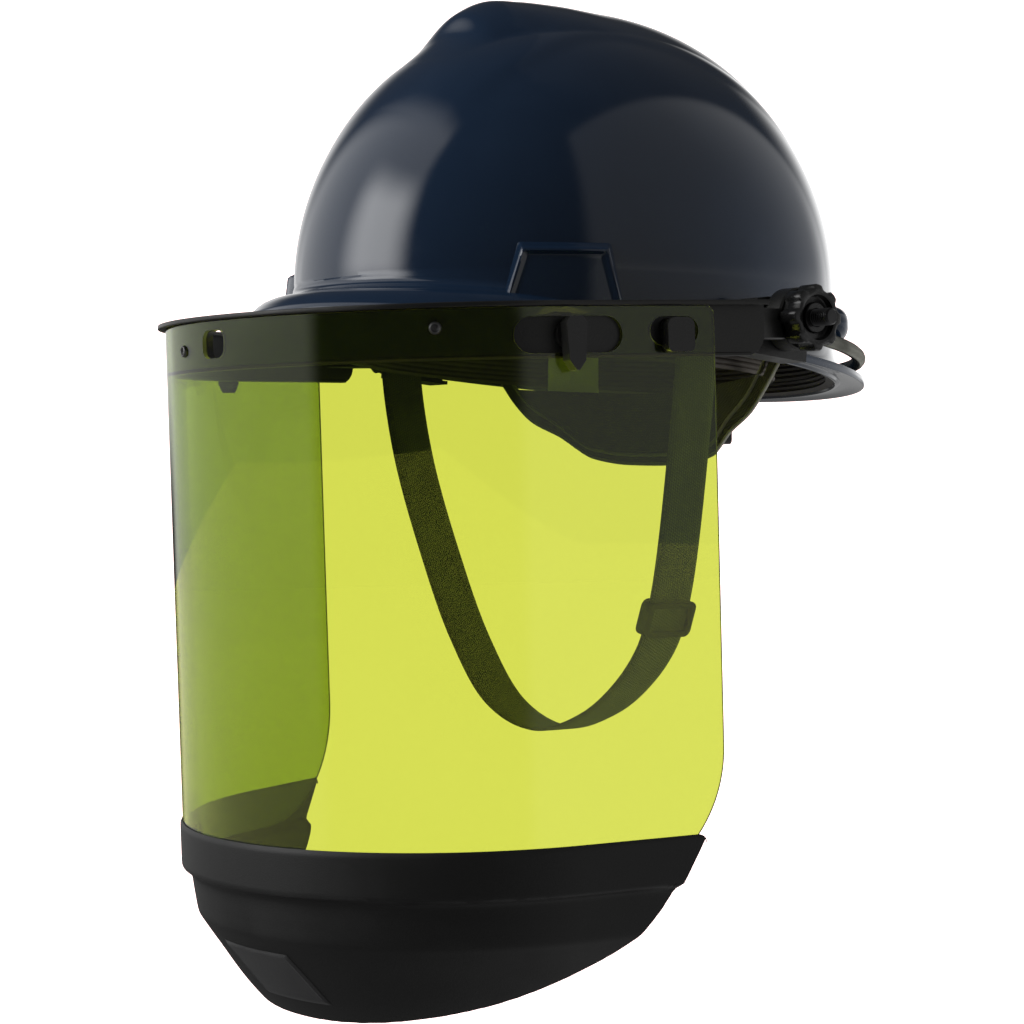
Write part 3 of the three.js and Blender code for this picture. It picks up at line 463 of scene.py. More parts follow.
# Headband. A ribbed band of grey-brown plastic inside the shell, lower at the back, with a pale liner
# tab tucked in on the wearer's right. Four moulded keys carry it in the shell's wall.
HEADBAND = Sizes(rx=77.0, ry=96.0, front=-3.0, rear=-11.0, height=30.0,
                 middle=1.0, half_wall=0.4, rib=0.5, rib_pitch=2.2, taper=1.2)
LINER = Sizes(start=136, end=151, foot=-27, height=39, wave=1.5, sag=1.2, outer=0.4, inner=1.3)


def ring_wall(turns, offset, height):
    """Points round the headband at an offset outside its inner face and a height above its lower edge."""
    drop = (1 + np.sin(turns)) / 2
    return oval(HEADBAND, offset, turns, HEADBAND.front + (HEADBAND.rear - HEADBAND.front) * drop + height)


def headband_rows():
    turns = full_turn(160)
    heights = np.linspace(0, HEADBAND.height, 90)
    ribs = HEADBAND.rib * np.abs(np.sin(math.pi * heights / HEADBAND.rib_pitch))
    ends = np.minimum(1, np.minimum(heights, HEADBAND.height - heights) / HEADBAND.taper)
    half = (HEADBAND.half_wall + ribs) * ends
    outer = [ring_wall(turns, HEADBAND.middle + t, h) for h, t in zip(heights, half)]
    inner = [ring_wall(turns, HEADBAND.middle - t, h) for h, t in zip(heights, half)]
    return np.array(outer + inner[::-1] + outer[:1])


headband_grey = plastic("headband_grey", (0.055, 0.047, 0.04), (0.085, 0.075, 0.062), 0.6, 0.75, 1400, 0.2)
headband = headband_rows()
headband_faces = grid_faces(headband, ring=True)
make_piece("ribbed_headband", headband, headband_faces, headband_grey, "hat", ["headband"])

satin_black = plastic("satin_black", (0.011, 0.011, 0.011), (0.02, 0.02, 0.019), 0.34, 0.5, 1500, 0.12)


def dress(node, material, bevel):
    """A CAD node keeps its shape and gets softened edges and a finish."""
    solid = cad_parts[node]
    solid.data.materials.clear()
    solid.data.materials.append(material)
    soften = solid.modifiers.new("softened_edges", "BEVEL")
    soften.width = bevel * 0.001
    soften.segments = 3
    soften.limit_method = "ANGLE"
    soften.angle_limit = math.radians(32)


for key in ("hanger_key_1", "hanger_key_2", "hanger_key_3", "hanger_key_4"):
    dress(key, satin_black, 0.8)


def thick_patch(front, back):
    """A closed sheet from two grids of the same size: its points and faces."""
    rows, columns = front.shape[:2]
    count = rows * columns
    faces = grid_faces(front) + grid_faces(back, start=count)
    net = np.arange(count).reshape(rows, columns)
    border = np.concatenate([net[0], net[1:, -1], net[-1, -2::-1], net[-2:0:-1, 0]]).tolist()
    faces += [[a, b, b + count, a + count] for a, b in zip(border, border[1:] + border[:1])]
    return np.concatenate([front.reshape(-1, 3), back.reshape(-1, 3)]), faces


def liner_tab_face(inset):
    turns = np.radians(np.linspace(LINER.start, LINER.end, 30))
    turn, share = np.meshgrid(turns, np.linspace(0, 1, 24))
    wave = LINER.wave * np.sin(np.linspace(0, math.tau, 30)) * (1 - share)
    sag = inset + LINER.sag * (1 - share) * np.abs(np.sin(np.linspace(0, math.pi, 30)))
    return oval(HEADBAND, -sag, turn, LINER.foot + LINER.height * share + wave)


pale_liner = plastic("pale_liner", (0.7, 0.72, 0.6), (0.78, 0.78, 0.66), 0.6, 0.7, 1200, 0.25)
tab_points, tab_faces = thick_patch(liner_tab_face(LINER.outer), liner_tab_face(LINER.inner))
make_piece("liner_flap", tab_points, tab_faces, pale_liner, "hat", ["liner_tab"])


# Crown straps. Two lengths of woven webbing that cross under the dome and take the hat's weight,
# sewn to the hanger keys at both ends.
WEB, web_in, web_out = node_group("woven_webbing", {"Threads": 800}, ["Height", "Shade"])
web_place = WEB.nodes.new("ShaderNodeUVMap")
web_split = WEB.nodes.new("ShaderNodeSeparateXYZ")
WEB.links.new(web_place.outputs["UV"], web_split.inputs["Vector"])


def wavy(turns):
    return number(WEB, "ABSOLUTE", number(WEB, "SINE", number(WEB, "MULTIPLY", turns, math.pi)))


along_turns = number(WEB, "MULTIPLY", web_split.outputs["X"], web_in.outputs["Threads"])
across_turns = number(WEB, "MULTIPLY", web_split.outputs["Y"], web_in.outputs["Threads"])
slant = number(WEB, "ADD", along_turns, number(WEB, "MULTIPLY", across_turns, 0.5))
weave_height = number(WEB, "MULTIPLY", wavy(slant), wavy(across_turns))
WEB.links.new(weave_height, web_out.inputs["Height"])
_, worn_patches = spotted(WEB, 60, 4, 0.35, 0.75)
WEB.links.new(number(WEB, "MULTIPLY", weave_height, worn_patches), web_out.inputs["Shade"])


def webbing(name, dark, light, threads):
    material, tree, shader = new_material(name)
    weave = tree.nodes.new("ShaderNodeGroup")
    weave.node_tree = WEB
    preset(weave, Threads=threads)
    varied(tree, weave.outputs["Shade"], dark, light, shader.inputs["Base Color"])
    ranged(tree, weave.outputs["Height"], 0.95, 0.75, shader.inputs["Roughness"])
    raised(tree, weave.outputs["Height"], 0.0005, 0.4, shader)
    preset(shader, Sheen_Weight=0.25)
    return material


def run_along(points):
    """The distance along a path at each of its points."""
    return np.concatenate([[0], np.cumsum(np.linalg.norm(np.diff(points, axis=0), axis=1))])


def unit(rows):
    return rows / np.linalg.norm(rows, axis=1)[:, None]


SELVEDGE = Sizes(points=13, thin=0.92, power=10)


def strip(name, centres, across, normals, half_width, thick, material, nodes=()):
    """A strap: a flat section with rounded selvedges carried along a path, with its weave laid along it."""
    across = np.broadcast_to(across, centres.shape)
    half_widths = np.broadcast_to(half_width, len(centres))
    side = np.linspace(-1, 1, SELVEDGE.points)
    spread = np.concatenate([side, -side])
    half_thick = thick / 2 * np.sqrt(1 - SELVEDGE.thin * np.abs(spread) ** SELVEDGE.power)
    face = np.repeat([1, -1], SELVEDGE.points) * half_thick
    rows = centres[:, None] + across[:, None] * (spread[None, :, None] * half_widths[:, None, None])
    rows = rows + normals[:, None] * face[None, :, None]
    piece = make_piece(name, rows, capped_faces(rows), material, "hat", nodes, crease=50)
    length = run_along(centres)
    off_middle = spread[None, :] * half_widths[:, None]
    flat = np.stack([np.repeat(length, len(spread)), off_middle.ravel()], axis=1) * 0.001
    lookup = {tuple(np.round(p, 3)): uv for p, uv in zip(rows.reshape(-1, 3), flat)}
    layer = piece.data.uv_layers.new(name="weave")
    for loop in piece.data.loops:
        spot = tuple(np.round(np.array(piece.data.vertices[loop.vertex_index].co) * 1000, 3))
        layer.data[loop.index].uv = lookup.get(spot, (0, 0))
    return piece, length[-1] * 0.001


dark_webbing = webbing("dark_webbing", (0.03, 0.029, 0.026), (0.085, 0.083, 0.075), 900)
CROWN_STRAP = Sizes(width=19.0, thick=1.5, foot=12.0, top=108.0, spacing=2.5, inset=2.8,
                    rx=76.7, ry=95.7)
UPRIGHT = np.array([0, 0, 1])
for order, degrees in enumerate((45, 135)):
    turn = math.radians(degrees)
    foot = oval(CROWN_STRAP, 0, turn, 0)
    span = np.linalg.norm(foot) - CROWN_STRAP.thick / 2 - CROWN_STRAP.inset
    level_way = foot / np.linalg.norm(foot)
    sweep = np.linspace(0, math.pi, 90)
    top = CROWN_STRAP.top - order * CROWN_STRAP.spacing + CROWN_STRAP.thick / 2
    rise = top - CROWN_STRAP.foot
    arch = level_way * (span * np.cos(sweep))[:, None] + UPRIGHT * (rise * np.sin(sweep))[:, None]
    outward = level_way * (rise * np.cos(sweep))[:, None] + UPRIGHT * (span * np.sin(sweep))[:, None]
    sideways = [level_way[1], -level_way[0], 0]
    arch[:, 2] += CROWN_STRAP.foot
    strap, strap_length = strip(
        f"crown_web_{order + 1}", arch, sideways, unit(outward), CROWN_STRAP.width / 2, CROWN_STRAP.thick,
        dark_webbing, [f"crown_strap_{order + 1}"],
    )


# Nape strap. A deep band of webbing slung behind the head, from one wall of the shell to the other,
# with a narrow backing band and a thin edging along its lower edges, whose pale colour is a painted
# highlight. A moulded slide on it takes up the slack.
NAPE_X = [-95, -88, -80, -70, -55, -38, -19, 0, 19, 38, 55, 70, 80, 88, 95]
NAPE_Y = [35, 36, 37, 39, 43, 48, 51.5, 53, 51.5, 48, 43, 39, 37, 36, 35]
NAPE_LOW = [0, -8, -17, -25.5, -32.5, -42.5, -45.3, -45.8, -45.3, -42.5, -32.5, -25.5, -17, -8, 0]
NAPE_TOP = [12, 4, -10, -11, -12, -13, -14, -14.5, -14, -13, -12, -11, -10, 4, 12]
BACKING_LIFT = [10, 11, 9, 7, 5, 4, 4, 4, 4, 4, 5, 7, 9, 11, 10]
NAPE = Sizes(back=0.9, thick=1.7)
BACKING = Sizes(back=-0.9, thick=1.0, above=0.4)
HIGHLIGHT_EDGE = Sizes(depth=1.05, height=0.85, up=0.5, points=8)


def slung(name, low, top, set_back, thick, material, nodes=()):
    """A band slung behind the head between two edges: the piece, its length, its mean and greatest depth."""
    x = np.linspace(NAPE_X[0], NAPE_X[-1], 120)
    y = eased(NAPE_X, NAPE_Y, x) + set_back
    under, over = eased(NAPE_X, low, x), eased(NAPE_X, top, x)
    centres = np.stack([x, y, (under + over) / 2], axis=1)
    run = np.gradient(np.stack([x, y], axis=1), axis=0)
    rearward = unit(np.stack([-run[:, 1], run[:, 0], np.zeros(len(x))], axis=1))
    half = (over - under) / 2
    piece, length = strip(name, centres, UPRIGHT, rearward, half, thick, material, nodes)
    return piece, length, 2 * float(half.mean()) * 0.001, 2 * float(half.max()) * 0.001


def highlight_edge(name, low, set_back, material):
    """A thin edging along the lower edge of a slung band, coloured pale as a painted highlight."""
    x = np.linspace(NAPE_X[0], NAPE_X[-1], 140)
    turn = full_turn(HIGHLIGHT_EDGE.points)
    y, z = eased(NAPE_X, NAPE_Y, x) + set_back, eased(NAPE_X, low, x) + HIGHLIGHT_EDGE.up
    section = np.stack([0 * turn, HIGHLIGHT_EDGE.depth * np.cos(turn), HIGHLIGHT_EDGE.height * np.sin(turn)], axis=1)
    rows = np.stack([x, y, z], axis=1)[:, None] + section[None]
    return make_piece(name, rows, capped_faces(rows), material, "hat")


# The edging's pale colour is a painted highlight on the lit lower edges of the straps.
lit_edge_webbing = webbing("painted_highlight_webbing", (0.2, 0.2, 0.16), (0.38, 0.38, 0.3), 1100)
nape, nape_length, nape_mean, nape_deep = slung(
    "nape_web", NAPE_LOW, NAPE_TOP, NAPE.back, NAPE.thick, dark_webbing, ["nape_strap"]
)
backing_low = [low + lift for low, lift in zip(NAPE_LOW, BACKING_LIFT)]
backing_top = [top + BACKING.above for top in NAPE_TOP]
backing, back_length, back_mean, back_deep = slung(
    "nape_backing", backing_low, backing_top, BACKING.back, BACKING.thick, dark_webbing
)
nape_edge = highlight_edge("nape_highlight_edge", NAPE_LOW, NAPE.back, lit_edge_webbing)
backing_edge = highlight_edge("backing_highlight_edge", backing_low, BACKING.back, lit_edge_webbing)
dress("nape_slide", satin_black, 0.8)


# Chin strap. One loop of flat woven webbing that hangs from both walls of the shell and passes under
# the jaw, with a moulded slide buckle on the wearer's left.
STRAP_X = [-96.4, -96, -87, -68, -46, -22, 8, 40, 62, 74, 78.4, 82.2, 86, 92, 96, 96.4]
STRAP_Z = [12, -6, -42, -84, -122, -148, -157.5, -149, -134, -120, -110, -98, -80, -40, -6, 12]
STRAP = Sizes(width=22.0, thick=1.6, plane=-16.6)


def smooth_path(points, count):
    """Evenly spaced points on a centripetal curve through a short list of points."""
    ends = [2 * points[0] - points[1], *points, 2 * points[-1] - points[-2]]
    fine = []
    for four in zip(ends, ends[1:], ends[2:], ends[3:]):
        knots = np.cumsum([0] + [math.sqrt(np.linalg.norm(q - p)) for p, q in zip(four, four[1:])])
        for t in np.linspace(knots[1], knots[2], 24, endpoint=False):
            spots = four
            for first, last in (([0, 1, 2], [1, 2, 3]), ([0, 1], [2, 3]), ([1], [2])):
                spots = [(p * (knots[b] - t) + q * (t - knots[a])) / (knots[b] - knots[a])
                         for a, b, p, q in zip(first, last, spots, spots[1:])]
            fine.append(spots[0])
    fine = np.array(fine + [points[-1]])
    run = run_along(fine)
    even = np.linspace(0, run[-1], count)
    return np.stack([np.interp(even, run, fine[:, k]) for k in range(3)], axis=1)


loop_path = smooth_path([np.array([x, STRAP.plane, z]) for x, z in zip(STRAP_X, STRAP_Z)], 170)
loop_run = np.gradient(loop_path, axis=0)
loop_face = unit(np.stack([-loop_run[:, 2], np.zeros(len(loop_path)), loop_run[:, 0]], axis=1))
strap_green = webbing("strap_webbing", (0.06, 0.063, 0.046), (0.15, 0.155, 0.115), 850)
chin_strap, chin_length = strip(
    "chin_web", loop_path, [0, 1, 0], loop_face, STRAP.width / 2, STRAP.thick, strap_green, ["chin_strap"]
)
dress("strap_buckle", satin_black, 0.6)


# Lift pivots. A moulded block hooked on each side of the brim holds a blackened bolt, and a lobed
# thumb knob on the bolt clamps the bracket's hub against the block.
PIVOT = np.array([0, 7.5, 9.0])
KNOB = Sizes(radius=12.1, lobe=0.95, lobes=8, square=2.2)
THREADS = 15


def lathe(profile, turns, shape=lambda turn: 1.0):
    """Rows of (x, radius) turned about the pivot line; shape scales the radius round the turn."""
    scale = np.array([shape(t) for t in turns])
    rows = [np.stack([np.full(len(turns), x), r * scale * np.cos(turns), r * scale * np.sin(turns)], axis=1)
            for x, r in profile]
    return np.array(rows) + PIVOT


def lobed(turn):
    """The knob's outline round its turn: square-cut lobes with rounded corners."""
    return 1 + KNOB.lobe / KNOB.radius * math.tanh(KNOB.square * math.cos(KNOB.lobes * turn))


# Each profile is a list of (distance out along the pivot line, radius).
knob_rim = [(131.0, 10.9), (131.0, 11.6), (131.6, 12.0), (138.9, 12.1), (139.7, 11.7), (140.0, 11.0)]
knob_dish = [(140.0, 9.4), (139.7, 8.9), (137.2, 8.6), (136.8, 8.2), (136.6, 6.2)]
knob_hub = [(136.7, 6.0), (138.4, 5.9), (138.7, 5.6), (138.7, 3.75)]
knob_bore = [(138.7, 3.75), (131.0, 3.75)]
bolt_profile = [(115.0, 3.2), (115.2, 3.4), (131.0, 3.4)]
for step in range(THREADS):
    bolt_profile += [(131.2 + step, 3.4), (131.5 + step, 3.4), (131.7 + step, 3.0), (132.0 + step, 3.0)]
bolt_profile += [(146.3, 3.3), (147.0, 2.7)]

knob_black = plastic("knob_black", (0.008, 0.008, 0.008), (0.016, 0.016, 0.015), 0.22, 0.38, 1200, 0.06)


def metal(name, colour, roughness, scale):
    """A bare metal with fine drawn lines and slight tarnish."""
    material, tree, shader = new_material(name)
    _, tarnish = spotted(tree, 90, 4, 0.4, 0.75)
    _, lines = spotted(tree, scale, 2, 0.3, 0.7)
    varied(tree, tarnish, colour, tuple(0.6 * c for c in colour), shader.inputs["Base Color"])
    ranged(tree, tarnish, roughness, roughness + 0.2, shader.inputs["Roughness"])
    raised(tree, lines, 0.0002, 0.1, shader)
    preset(shader, Metallic=1.0)
    return material


black_bolt = metal("blackened_steel", (0.07, 0.07, 0.072), 0.3, 1500)
around = full_turn(128)
for side, sign in (("left", 1), ("right", -1)):
    dress(f"pivot_base_{side}", satin_black, 0.9)
    outer_rows = lathe(knob_rim, around, lobed)
    inner_rows = lathe(knob_dish + knob_hub + knob_bore, around)
    knob_rows = np.concatenate([outer_rows, inner_rows, outer_rows[:1]]) * [sign, 1, 1]
    make_piece(f"thumb_knob_{side}", knob_rows, grid_faces(knob_rows, ring=True), knob_black,
               f"{side}_knob", [f"knob_{side}"])
    bolt_rows = lathe(bolt_profile, around[::4]) * [sign, 1, 1]
    make_piece(f"threaded_bolt_{side}", bolt_rows, capped_faces(bolt_rows), black_bolt, "hat",
               [f"pivot_bolt_{side}"])


# Retaining spring. A close-wound coil of steel wire that runs from one pivot block round the back of
# the hat, on the brim, to the other and pulls both blocks against the brim.
SPRING = Sizes(rx=114.6, ry=134.0, start=21.6, lift=10.9, coil=2.4, wire=0.5,
               pitch=1.2, steps=12)
first_turn = math.asin(SPRING.start / SPRING.ry)
route_turn = np.linspace(first_turn, math.pi - first_turn, 400)
route = oval(SPRING, 0, route_turn, 0 * route_turn)
route[:, 2] = BRIM.level + BRIM.slope * route[:, 1] + SPRING.lift
route_run = run_along(route)
coil_count = int(route_run[-1] / SPRING.pitch)
coil_at = np.linspace(0, route_run[-1], coil_count * SPRING.steps)
coil_centre = np.stack([np.interp(coil_at, route_run, route[:, k]) for k in range(3)], axis=1)
coil_way = unit(np.gradient(coil_centre, axis=0))
coil_side = unit(np.cross(coil_way, [0, 0, 1.0]))
coil_up = np.cross(coil_side, coil_way)
coil_turn = np.linspace(0, math.tau * coil_count, len(coil_at))
coil_out = coil_side * np.cos(coil_turn)[:, None] + coil_up * np.sin(coil_turn)[:, None]
wire_turn = full_turn(6)
wire_out = SPRING.coil + SPRING.wire * np.cos(wire_turn)
wire_along = SPRING.wire * np.sin(wire_turn)
wire = coil_centre[:, None] + coil_out[:, None] * wire_out[None, :, None]
wire = wire + coil_way[:, None] * wire_along[None, :, None]
spring_steel = metal("spring_steel", (0.42, 0.42, 0.37), 0.35, 1500)
make_piece("coil_spring", wire, capped_faces(wire), spring_steel, "hat", ["retaining_spring"],
           crease=80)


# Bracket band. A strip of black plastic bent round the front, moulded with a flange along its top edge,
# a small window at the front, and an arm with a round hub on each side that turns on the pivot bolt.
PITCH = math.radians(2.08)
ARC = Sizes(centre=-61.2, radius=118.7)
FLARE = math.radians(17.2)
ARC_END = (math.pi / 2 - FLARE) * ARC.radius
ARM_END = ARC_END + 81
BAND = Sizes(bottom=-5.5, flange=12.8, into_flange=1.4, outer=1.8, inner=4.6, corner=8)
LEVER = Sizes(s=ARC_END - 1, z=3, bore=5.6)
WINDOW = Sizes(width=14.5, height=10.8, corner=4, z=4.6)


def upright_outline(s, inset, z):
    """Points on the shield before it is pitched: s round its outer face from the front, inset, z up."""
    s, inset, z = np.broadcast_arrays(np.asarray(s, float), inset, z)
    turn = np.minimum(np.abs(s), ARC_END) / ARC.radius
    beyond = np.maximum(np.abs(s) - ARC_END, 0)
    side = np.where(s < 0, -1.0, 1.0)
    x = side * (np.sin(turn) * (ARC.radius - inset) + np.cos(turn) * beyond)
    y = ARC.centre - np.cos(turn) * (ARC.radius - inset) + np.sin(turn) * beyond
    return np.stack([x, y, z], axis=-1)


def tipped(points):
    """The shield's own frame, pitched nose-down about the pivot line."""
    y, z = points[..., 1] - PIVOT[1], points[..., 2] - PIVOT[2]
    moved = points.copy()
    moved[..., 1] = PIVOT[1] + y * math.cos(PITCH) - z * math.sin(PITCH)
    moved[..., 2] = PIVOT[2] + y * math.sin(PITCH) + z * math.cos(PITCH)
    return moved


def on_outline(s, inset, z):
    return tipped(upright_outline(s, inset, z))


def rounded_bar(width, height, radius, at=(0, 0), steps=8):
    """Outline of a bar with rounded corners, as points round its middle."""
    corners = [(1, -1, -90), (1, 1, 0), (-1, 1, 90), (-1, -1, 180)]
    points = []
    for right, up, start in corners:
        for turn in np.radians(np.linspace(start, start + 90, steps)):
            points.append((at[0] + right * (width / 2 - radius) + radius * math.cos(turn),
                           at[1] + up * (height / 2 - radius) + radius * math.sin(turn)))
    return np.array(points)


def inside(points, border):
    """Which points lie inside a closed border."""
    hits = np.zeros(len(points), bool)
    for a, b in zip(border, np.roll(border, -1, axis=0)):
        cross = (a[1] > points[:, 1]) != (b[1] > points[:, 1])
        climb = b[1] - a[1] if b[1] != a[1] else 1e-12
        level = a[0] + (points[:, 1] - a[1]) * (b[0] - a[0]) / climb
        hits ^= cross & (points[:, 0] < level)
    return hits


def bent_sheet(border, holes, step, front, back):
    """A cut-out bent to shape: flat (s, z) outlines, filled with a net and placed by two functions."""
    loops = [border, *holes]
    low, high = border.min(0), border.max(0)
    columns, levels = np.arange(low[0] + 1, high[0], step[0]), np.arange(low[1] + 2, high[1], step[1])
    net = np.stack(np.meshgrid(columns, levels), -1).reshape(-1, 2)
    net = net[inside(net, border)]
    for hole in holes:
        net = net[~inside(net, hole)]
    edge_points = np.concatenate(loops)
    clear = np.array([np.min(np.sum((edge_points - p) ** 2, axis=1)) > 0.8 for p in net])
    flat = np.concatenate([edge_points, net[clear]])
    edges, start = [], 0
    for loop in loops:
        edges += [(start + i, start + (i + 1) % len(loop)) for i in range(len(loop))]
        start += len(loop)
    spots, _, triangles, *_ = delaunay_2d_cdt([Vector(p) for p in flat], edges, [], 0, 1e-5)
    spots = np.array([tuple(p) for p in spots])
    middles = np.array([spots[list(t)].mean(0) for t in triangles])
    keep = inside(middles, border)
    for hole in holes:
        keep &= ~inside(middles, hole)
    faces = [list(t) for t, kept in zip(triangles, keep) if kept]
    count = len(spots)
    owners = {}
    for a, b, c in faces:
        for pair in ((a, b), (b, c), (c, a)):
            owners[frozenset(pair)] = owners.get(frozenset(pair), []) + [pair]
    rim = [[a, b, b + count, a + count] for (a, b), *more in owners.values() if not more]
    points = np.concatenate([front(spots[:, 0], spots[:, 1]), back(spots[:, 0], spots[:, 1])])
    behind = [[c + count, b + count, a + count] for a, b, c in faces]
    return points, faces + behind + rim


def band_border():
    radius, height = BAND.corner, BAND.flange + BAND.into_flange
    corner = [(ARM_END - radius + radius * math.cos(t), BAND.bottom + radius + radius * math.sin(t))
              for t in np.radians(np.linspace(-90, 0, 9))]
    right = corner + [(ARM_END, height)]
    top = [(s, height) for s in np.linspace(ARM_END - 3, -ARM_END + 3, 150)]
    left = [(-s, z) for s, z in reversed(right)]
    bottom = [(s, BAND.bottom) for s in np.linspace(-ARM_END + 11, ARM_END - 11, 150)]
    return np.array(right + top + left + bottom)


def cut_out(length, height, s, z, steps=8):
    """A round hole or a slot with round ends."""
    return rounded_bar(length, height, height / 2, (s, z), steps)


lever_bores = [cut_out(LEVER.bore, LEVER.bore, sign * LEVER.s, LEVER.z) for sign in (1, -1)]
window = rounded_bar(WINDOW.width, WINDOW.height, WINDOW.corner, (0, WINDOW.z))
strip_points, band_faces = bent_sheet(
    band_border(), [window, *lever_bores], (3.2, 4.2),
    lambda s, z: on_outline(s, BAND.outer, z), lambda s, z: on_outline(s, BAND.inner, z),
)
band_points = [strip_points]


def add_rows(rows, faces):
    """Adds a closed grid of rows to the bracket's one mesh."""
    start = sum(len(p) for p in band_points)
    band_points.append(rows.reshape(-1, 3))
    band_faces.extend([[start + i for i in face] for face in faces])


arm_stations = np.linspace(ARC_END, ARM_END, 14)[1:]
stations = np.concatenate([-arm_stations[::-1], np.linspace(-ARC_END, ARC_END, 130), arm_stations])
flange_ring = rounded_bar(11, 1.5, 0.6, (2.5, 14.6), 4)
lip_ring = rounded_bar(1.1, 1.9, 0.5, (-2.5, 14.5), 4)
bead_ring = rounded_bar(3.6, 1.5, 0.6, (3.1, -4.9), 4)
for ring, short_by in ((flange_ring, 0), (lip_ring, 0), (bead_ring, 6)):
    ring_stations = np.clip(stations, -ARM_END + short_by, ARM_END - short_by)
    swept = np.array([on_outline(s, ring[:, 0], ring[:, 1]) for s in ring_stations])
    add_rows(swept, capped_faces(swept))

# The hub's web is a plan of (x, y) with softened top and bottom edges, as (level, pulled in by).
HUB_WEB = np.array([(126, -38), (133, -18.5), (130.7, -6), (130.7, 7.5), (122, 7.5), (122, -10)])
HUB_WEB_LEVELS = [(1.0, 0.6), (1.5, 0.0), (12.3, 0.0), (12.9, 0.4)]
hub_profile = [(122.0, 11.6), (122.6, 12.3), (130.0, 12.3), (130.7, 11.6), (130.7, 4.0), (122.0, 4.0)]
hub_profile += hub_profile[:1]
web_in_way = np.sign(HUB_WEB.mean(axis=0) - HUB_WEB)
for sign in (1, -1):
    web_plans = [np.insert(HUB_WEB + pull * web_in_way, 2, level, axis=1) for level, pull in HUB_WEB_LEVELS]
    web_rows = tipped(np.array(web_plans) * [sign, 1, 1])
    add_rows(web_rows, capped_faces(web_rows))
    hub_rows = tipped(lathe(hub_profile, around[::2])) * [sign, 1, 1]
    add_rows(hub_rows, grid_faces(hub_rows, ring=True))

band_black = plastic("band_black", (0.010, 0.010, 0.0095), (0.02, 0.02, 0.018), 0.36, 0.5, 1300, 0.12)
make_piece("bracket_strip", np.concatenate(band_points), band_faces, band_black, "shield",
           ["bracket_band"], crease=40)


# Visor. One sheet of yellow-green tinted plastic bent round the bracket, with its lower rear corners
# swept forward, a long and a short slot cut in each side, and cut edges in an opaque yellow-green
# that is a painted highlight.
VISOR = Sizes(end=ARC_END + 58.8, thick=1.5, top=13.3, bottom=-203.4, corner=-153.0, sweep=47.0)
LONG_SLOT = (43, 13.6)
SHORT_SLOT = (20, 11)
STUD = Sizes(s=ARC_END + 42, z=4)
RIVET_HOLE = (3.6, 3.6)
FRONT_RIVET = Sizes(s=-24, z=3)
SIDE_RIVET = Sizes(s=99.5, z=6.2)
CUP_RIVET = Sizes(s=92, z=-194)


def visor_border():
    turns = np.linspace(0, math.pi / 2, 30)
    corner = [(VISOR.end - VISOR.sweep * (1 - math.sin(t)),
               VISOR.corner + (VISOR.bottom - VISOR.corner) * math.cos(t)) for t in turns]
    side = [(VISOR.end, z) for z in np.linspace(VISOR.corner + 8, VISOR.top - 2, 22)]
    top = [(s, VISOR.top) for s in np.linspace(VISOR.end - 2, -VISOR.end + 2, 150)]
    reach = VISOR.end - VISOR.sweep
    bottom = [(s, VISOR.bottom) for s in np.linspace(-reach + 2, reach - 2, 110)]
    right = corner + side
    return np.array(right + top + [(-s, z) for s, z in reversed(right)] + bottom)


def visor_face(depth):
    """Places one face of the sheet, which draws in by 1 mm from its top to its bottom."""
    span = VISOR.top - VISOR.bottom
    return lambda s, z: on_outline(s, depth + (VISOR.top - z) / span, z)


visor_holes = [cut_out(*RIVET_HOLE, FRONT_RIVET.s, FRONT_RIVET.z), window]
for sign in (1, -1):
    visor_holes += [
        cut_out(*LONG_SLOT, sign * LEVER.s, LEVER.z, 12),
        cut_out(*SHORT_SLOT, sign * STUD.s, STUD.z, 10),
        cut_out(*RIVET_HOLE, sign * SIDE_RIVET.s, SIDE_RIVET.z),
        cut_out(*RIVET_HOLE, sign * CUP_RIVET.s, CUP_RIVET.z),
    ]
sheet_points, sheet_faces = bent_sheet(
    visor_border(), visor_holes, (3.0, 8.0), visor_face(0), visor_face(VISOR.thick)
)
tinted, tint_tree, tint_shader = new_material("tinted_sheet")
_, tint_cloud = spotted(tint_tree, 9, 3, 0.35, 0.7)
varied(tint_tree, tint_cloud, (0.284, 0.388, 0.047), (0.29, 0.393, 0.05), tint_shader.inputs["Base Color"])
_, tint_wipe = spotted(tint_tree, 55, 5, 0.5, 0.8)
ranged(tint_tree, tint_wipe, 0.0, 0.035, tint_shader.inputs["Roughness"])
preset(tint_shader, Transmission_Weight=1.0, IOR=1.5)
# The cut edges get the sheet's own yellow-green, made opaque and lighter as a painted highlight.
edge_highlight_paint = plastic("visor_edge_highlight", (0.15, 0.18, 0.03), (0.22, 0.25, 0.05), 0.3, 0.5, 1500, 0.1)
visor = make_piece("tinted_visor", sheet_points, sheet_faces, tinted, "shield", ["visor"])
visor.data.materials.append(edge_highlight_paint)
for face in visor.data.polygons:
    face.material_index = 1 if len(face.vertices) == 4 else 0


# Visor fasteners. Black levers turn in the long slots and lock the sheet to the bracket, catches hold
# it through the short slots, and small steel rivets pin it at the front and sides.
rivet_steel = metal("rivet_steel", (0.2, 0.2, 0.2), 0.3, 1500)
RIVET_PROFILE = [
    # radius, height out from the face
    (0.15, 0.2), (1.0, 0.2), (1.25, 0.4), (1.45, 0.9), (1.75, 1.0), (2.1, 0.85), (2.4, 0.3), (2.4, 0.0),
    (1.5, 0.0), (1.5, -4.8),
]


def tubular_rivet(node, s, z):
    """A rolled rivet head with its hollow middle, on the sheet's outer face, and its shank."""
    rows = np.array([on_outline(s + r * np.cos(around[::4]), -out, z + r * np.sin(around[::4]))
                     for r, out in RIVET_PROFILE])
    make_piece(f"{node}_head", rows, capped_faces(rows), rivet_steel, "shield", [node])


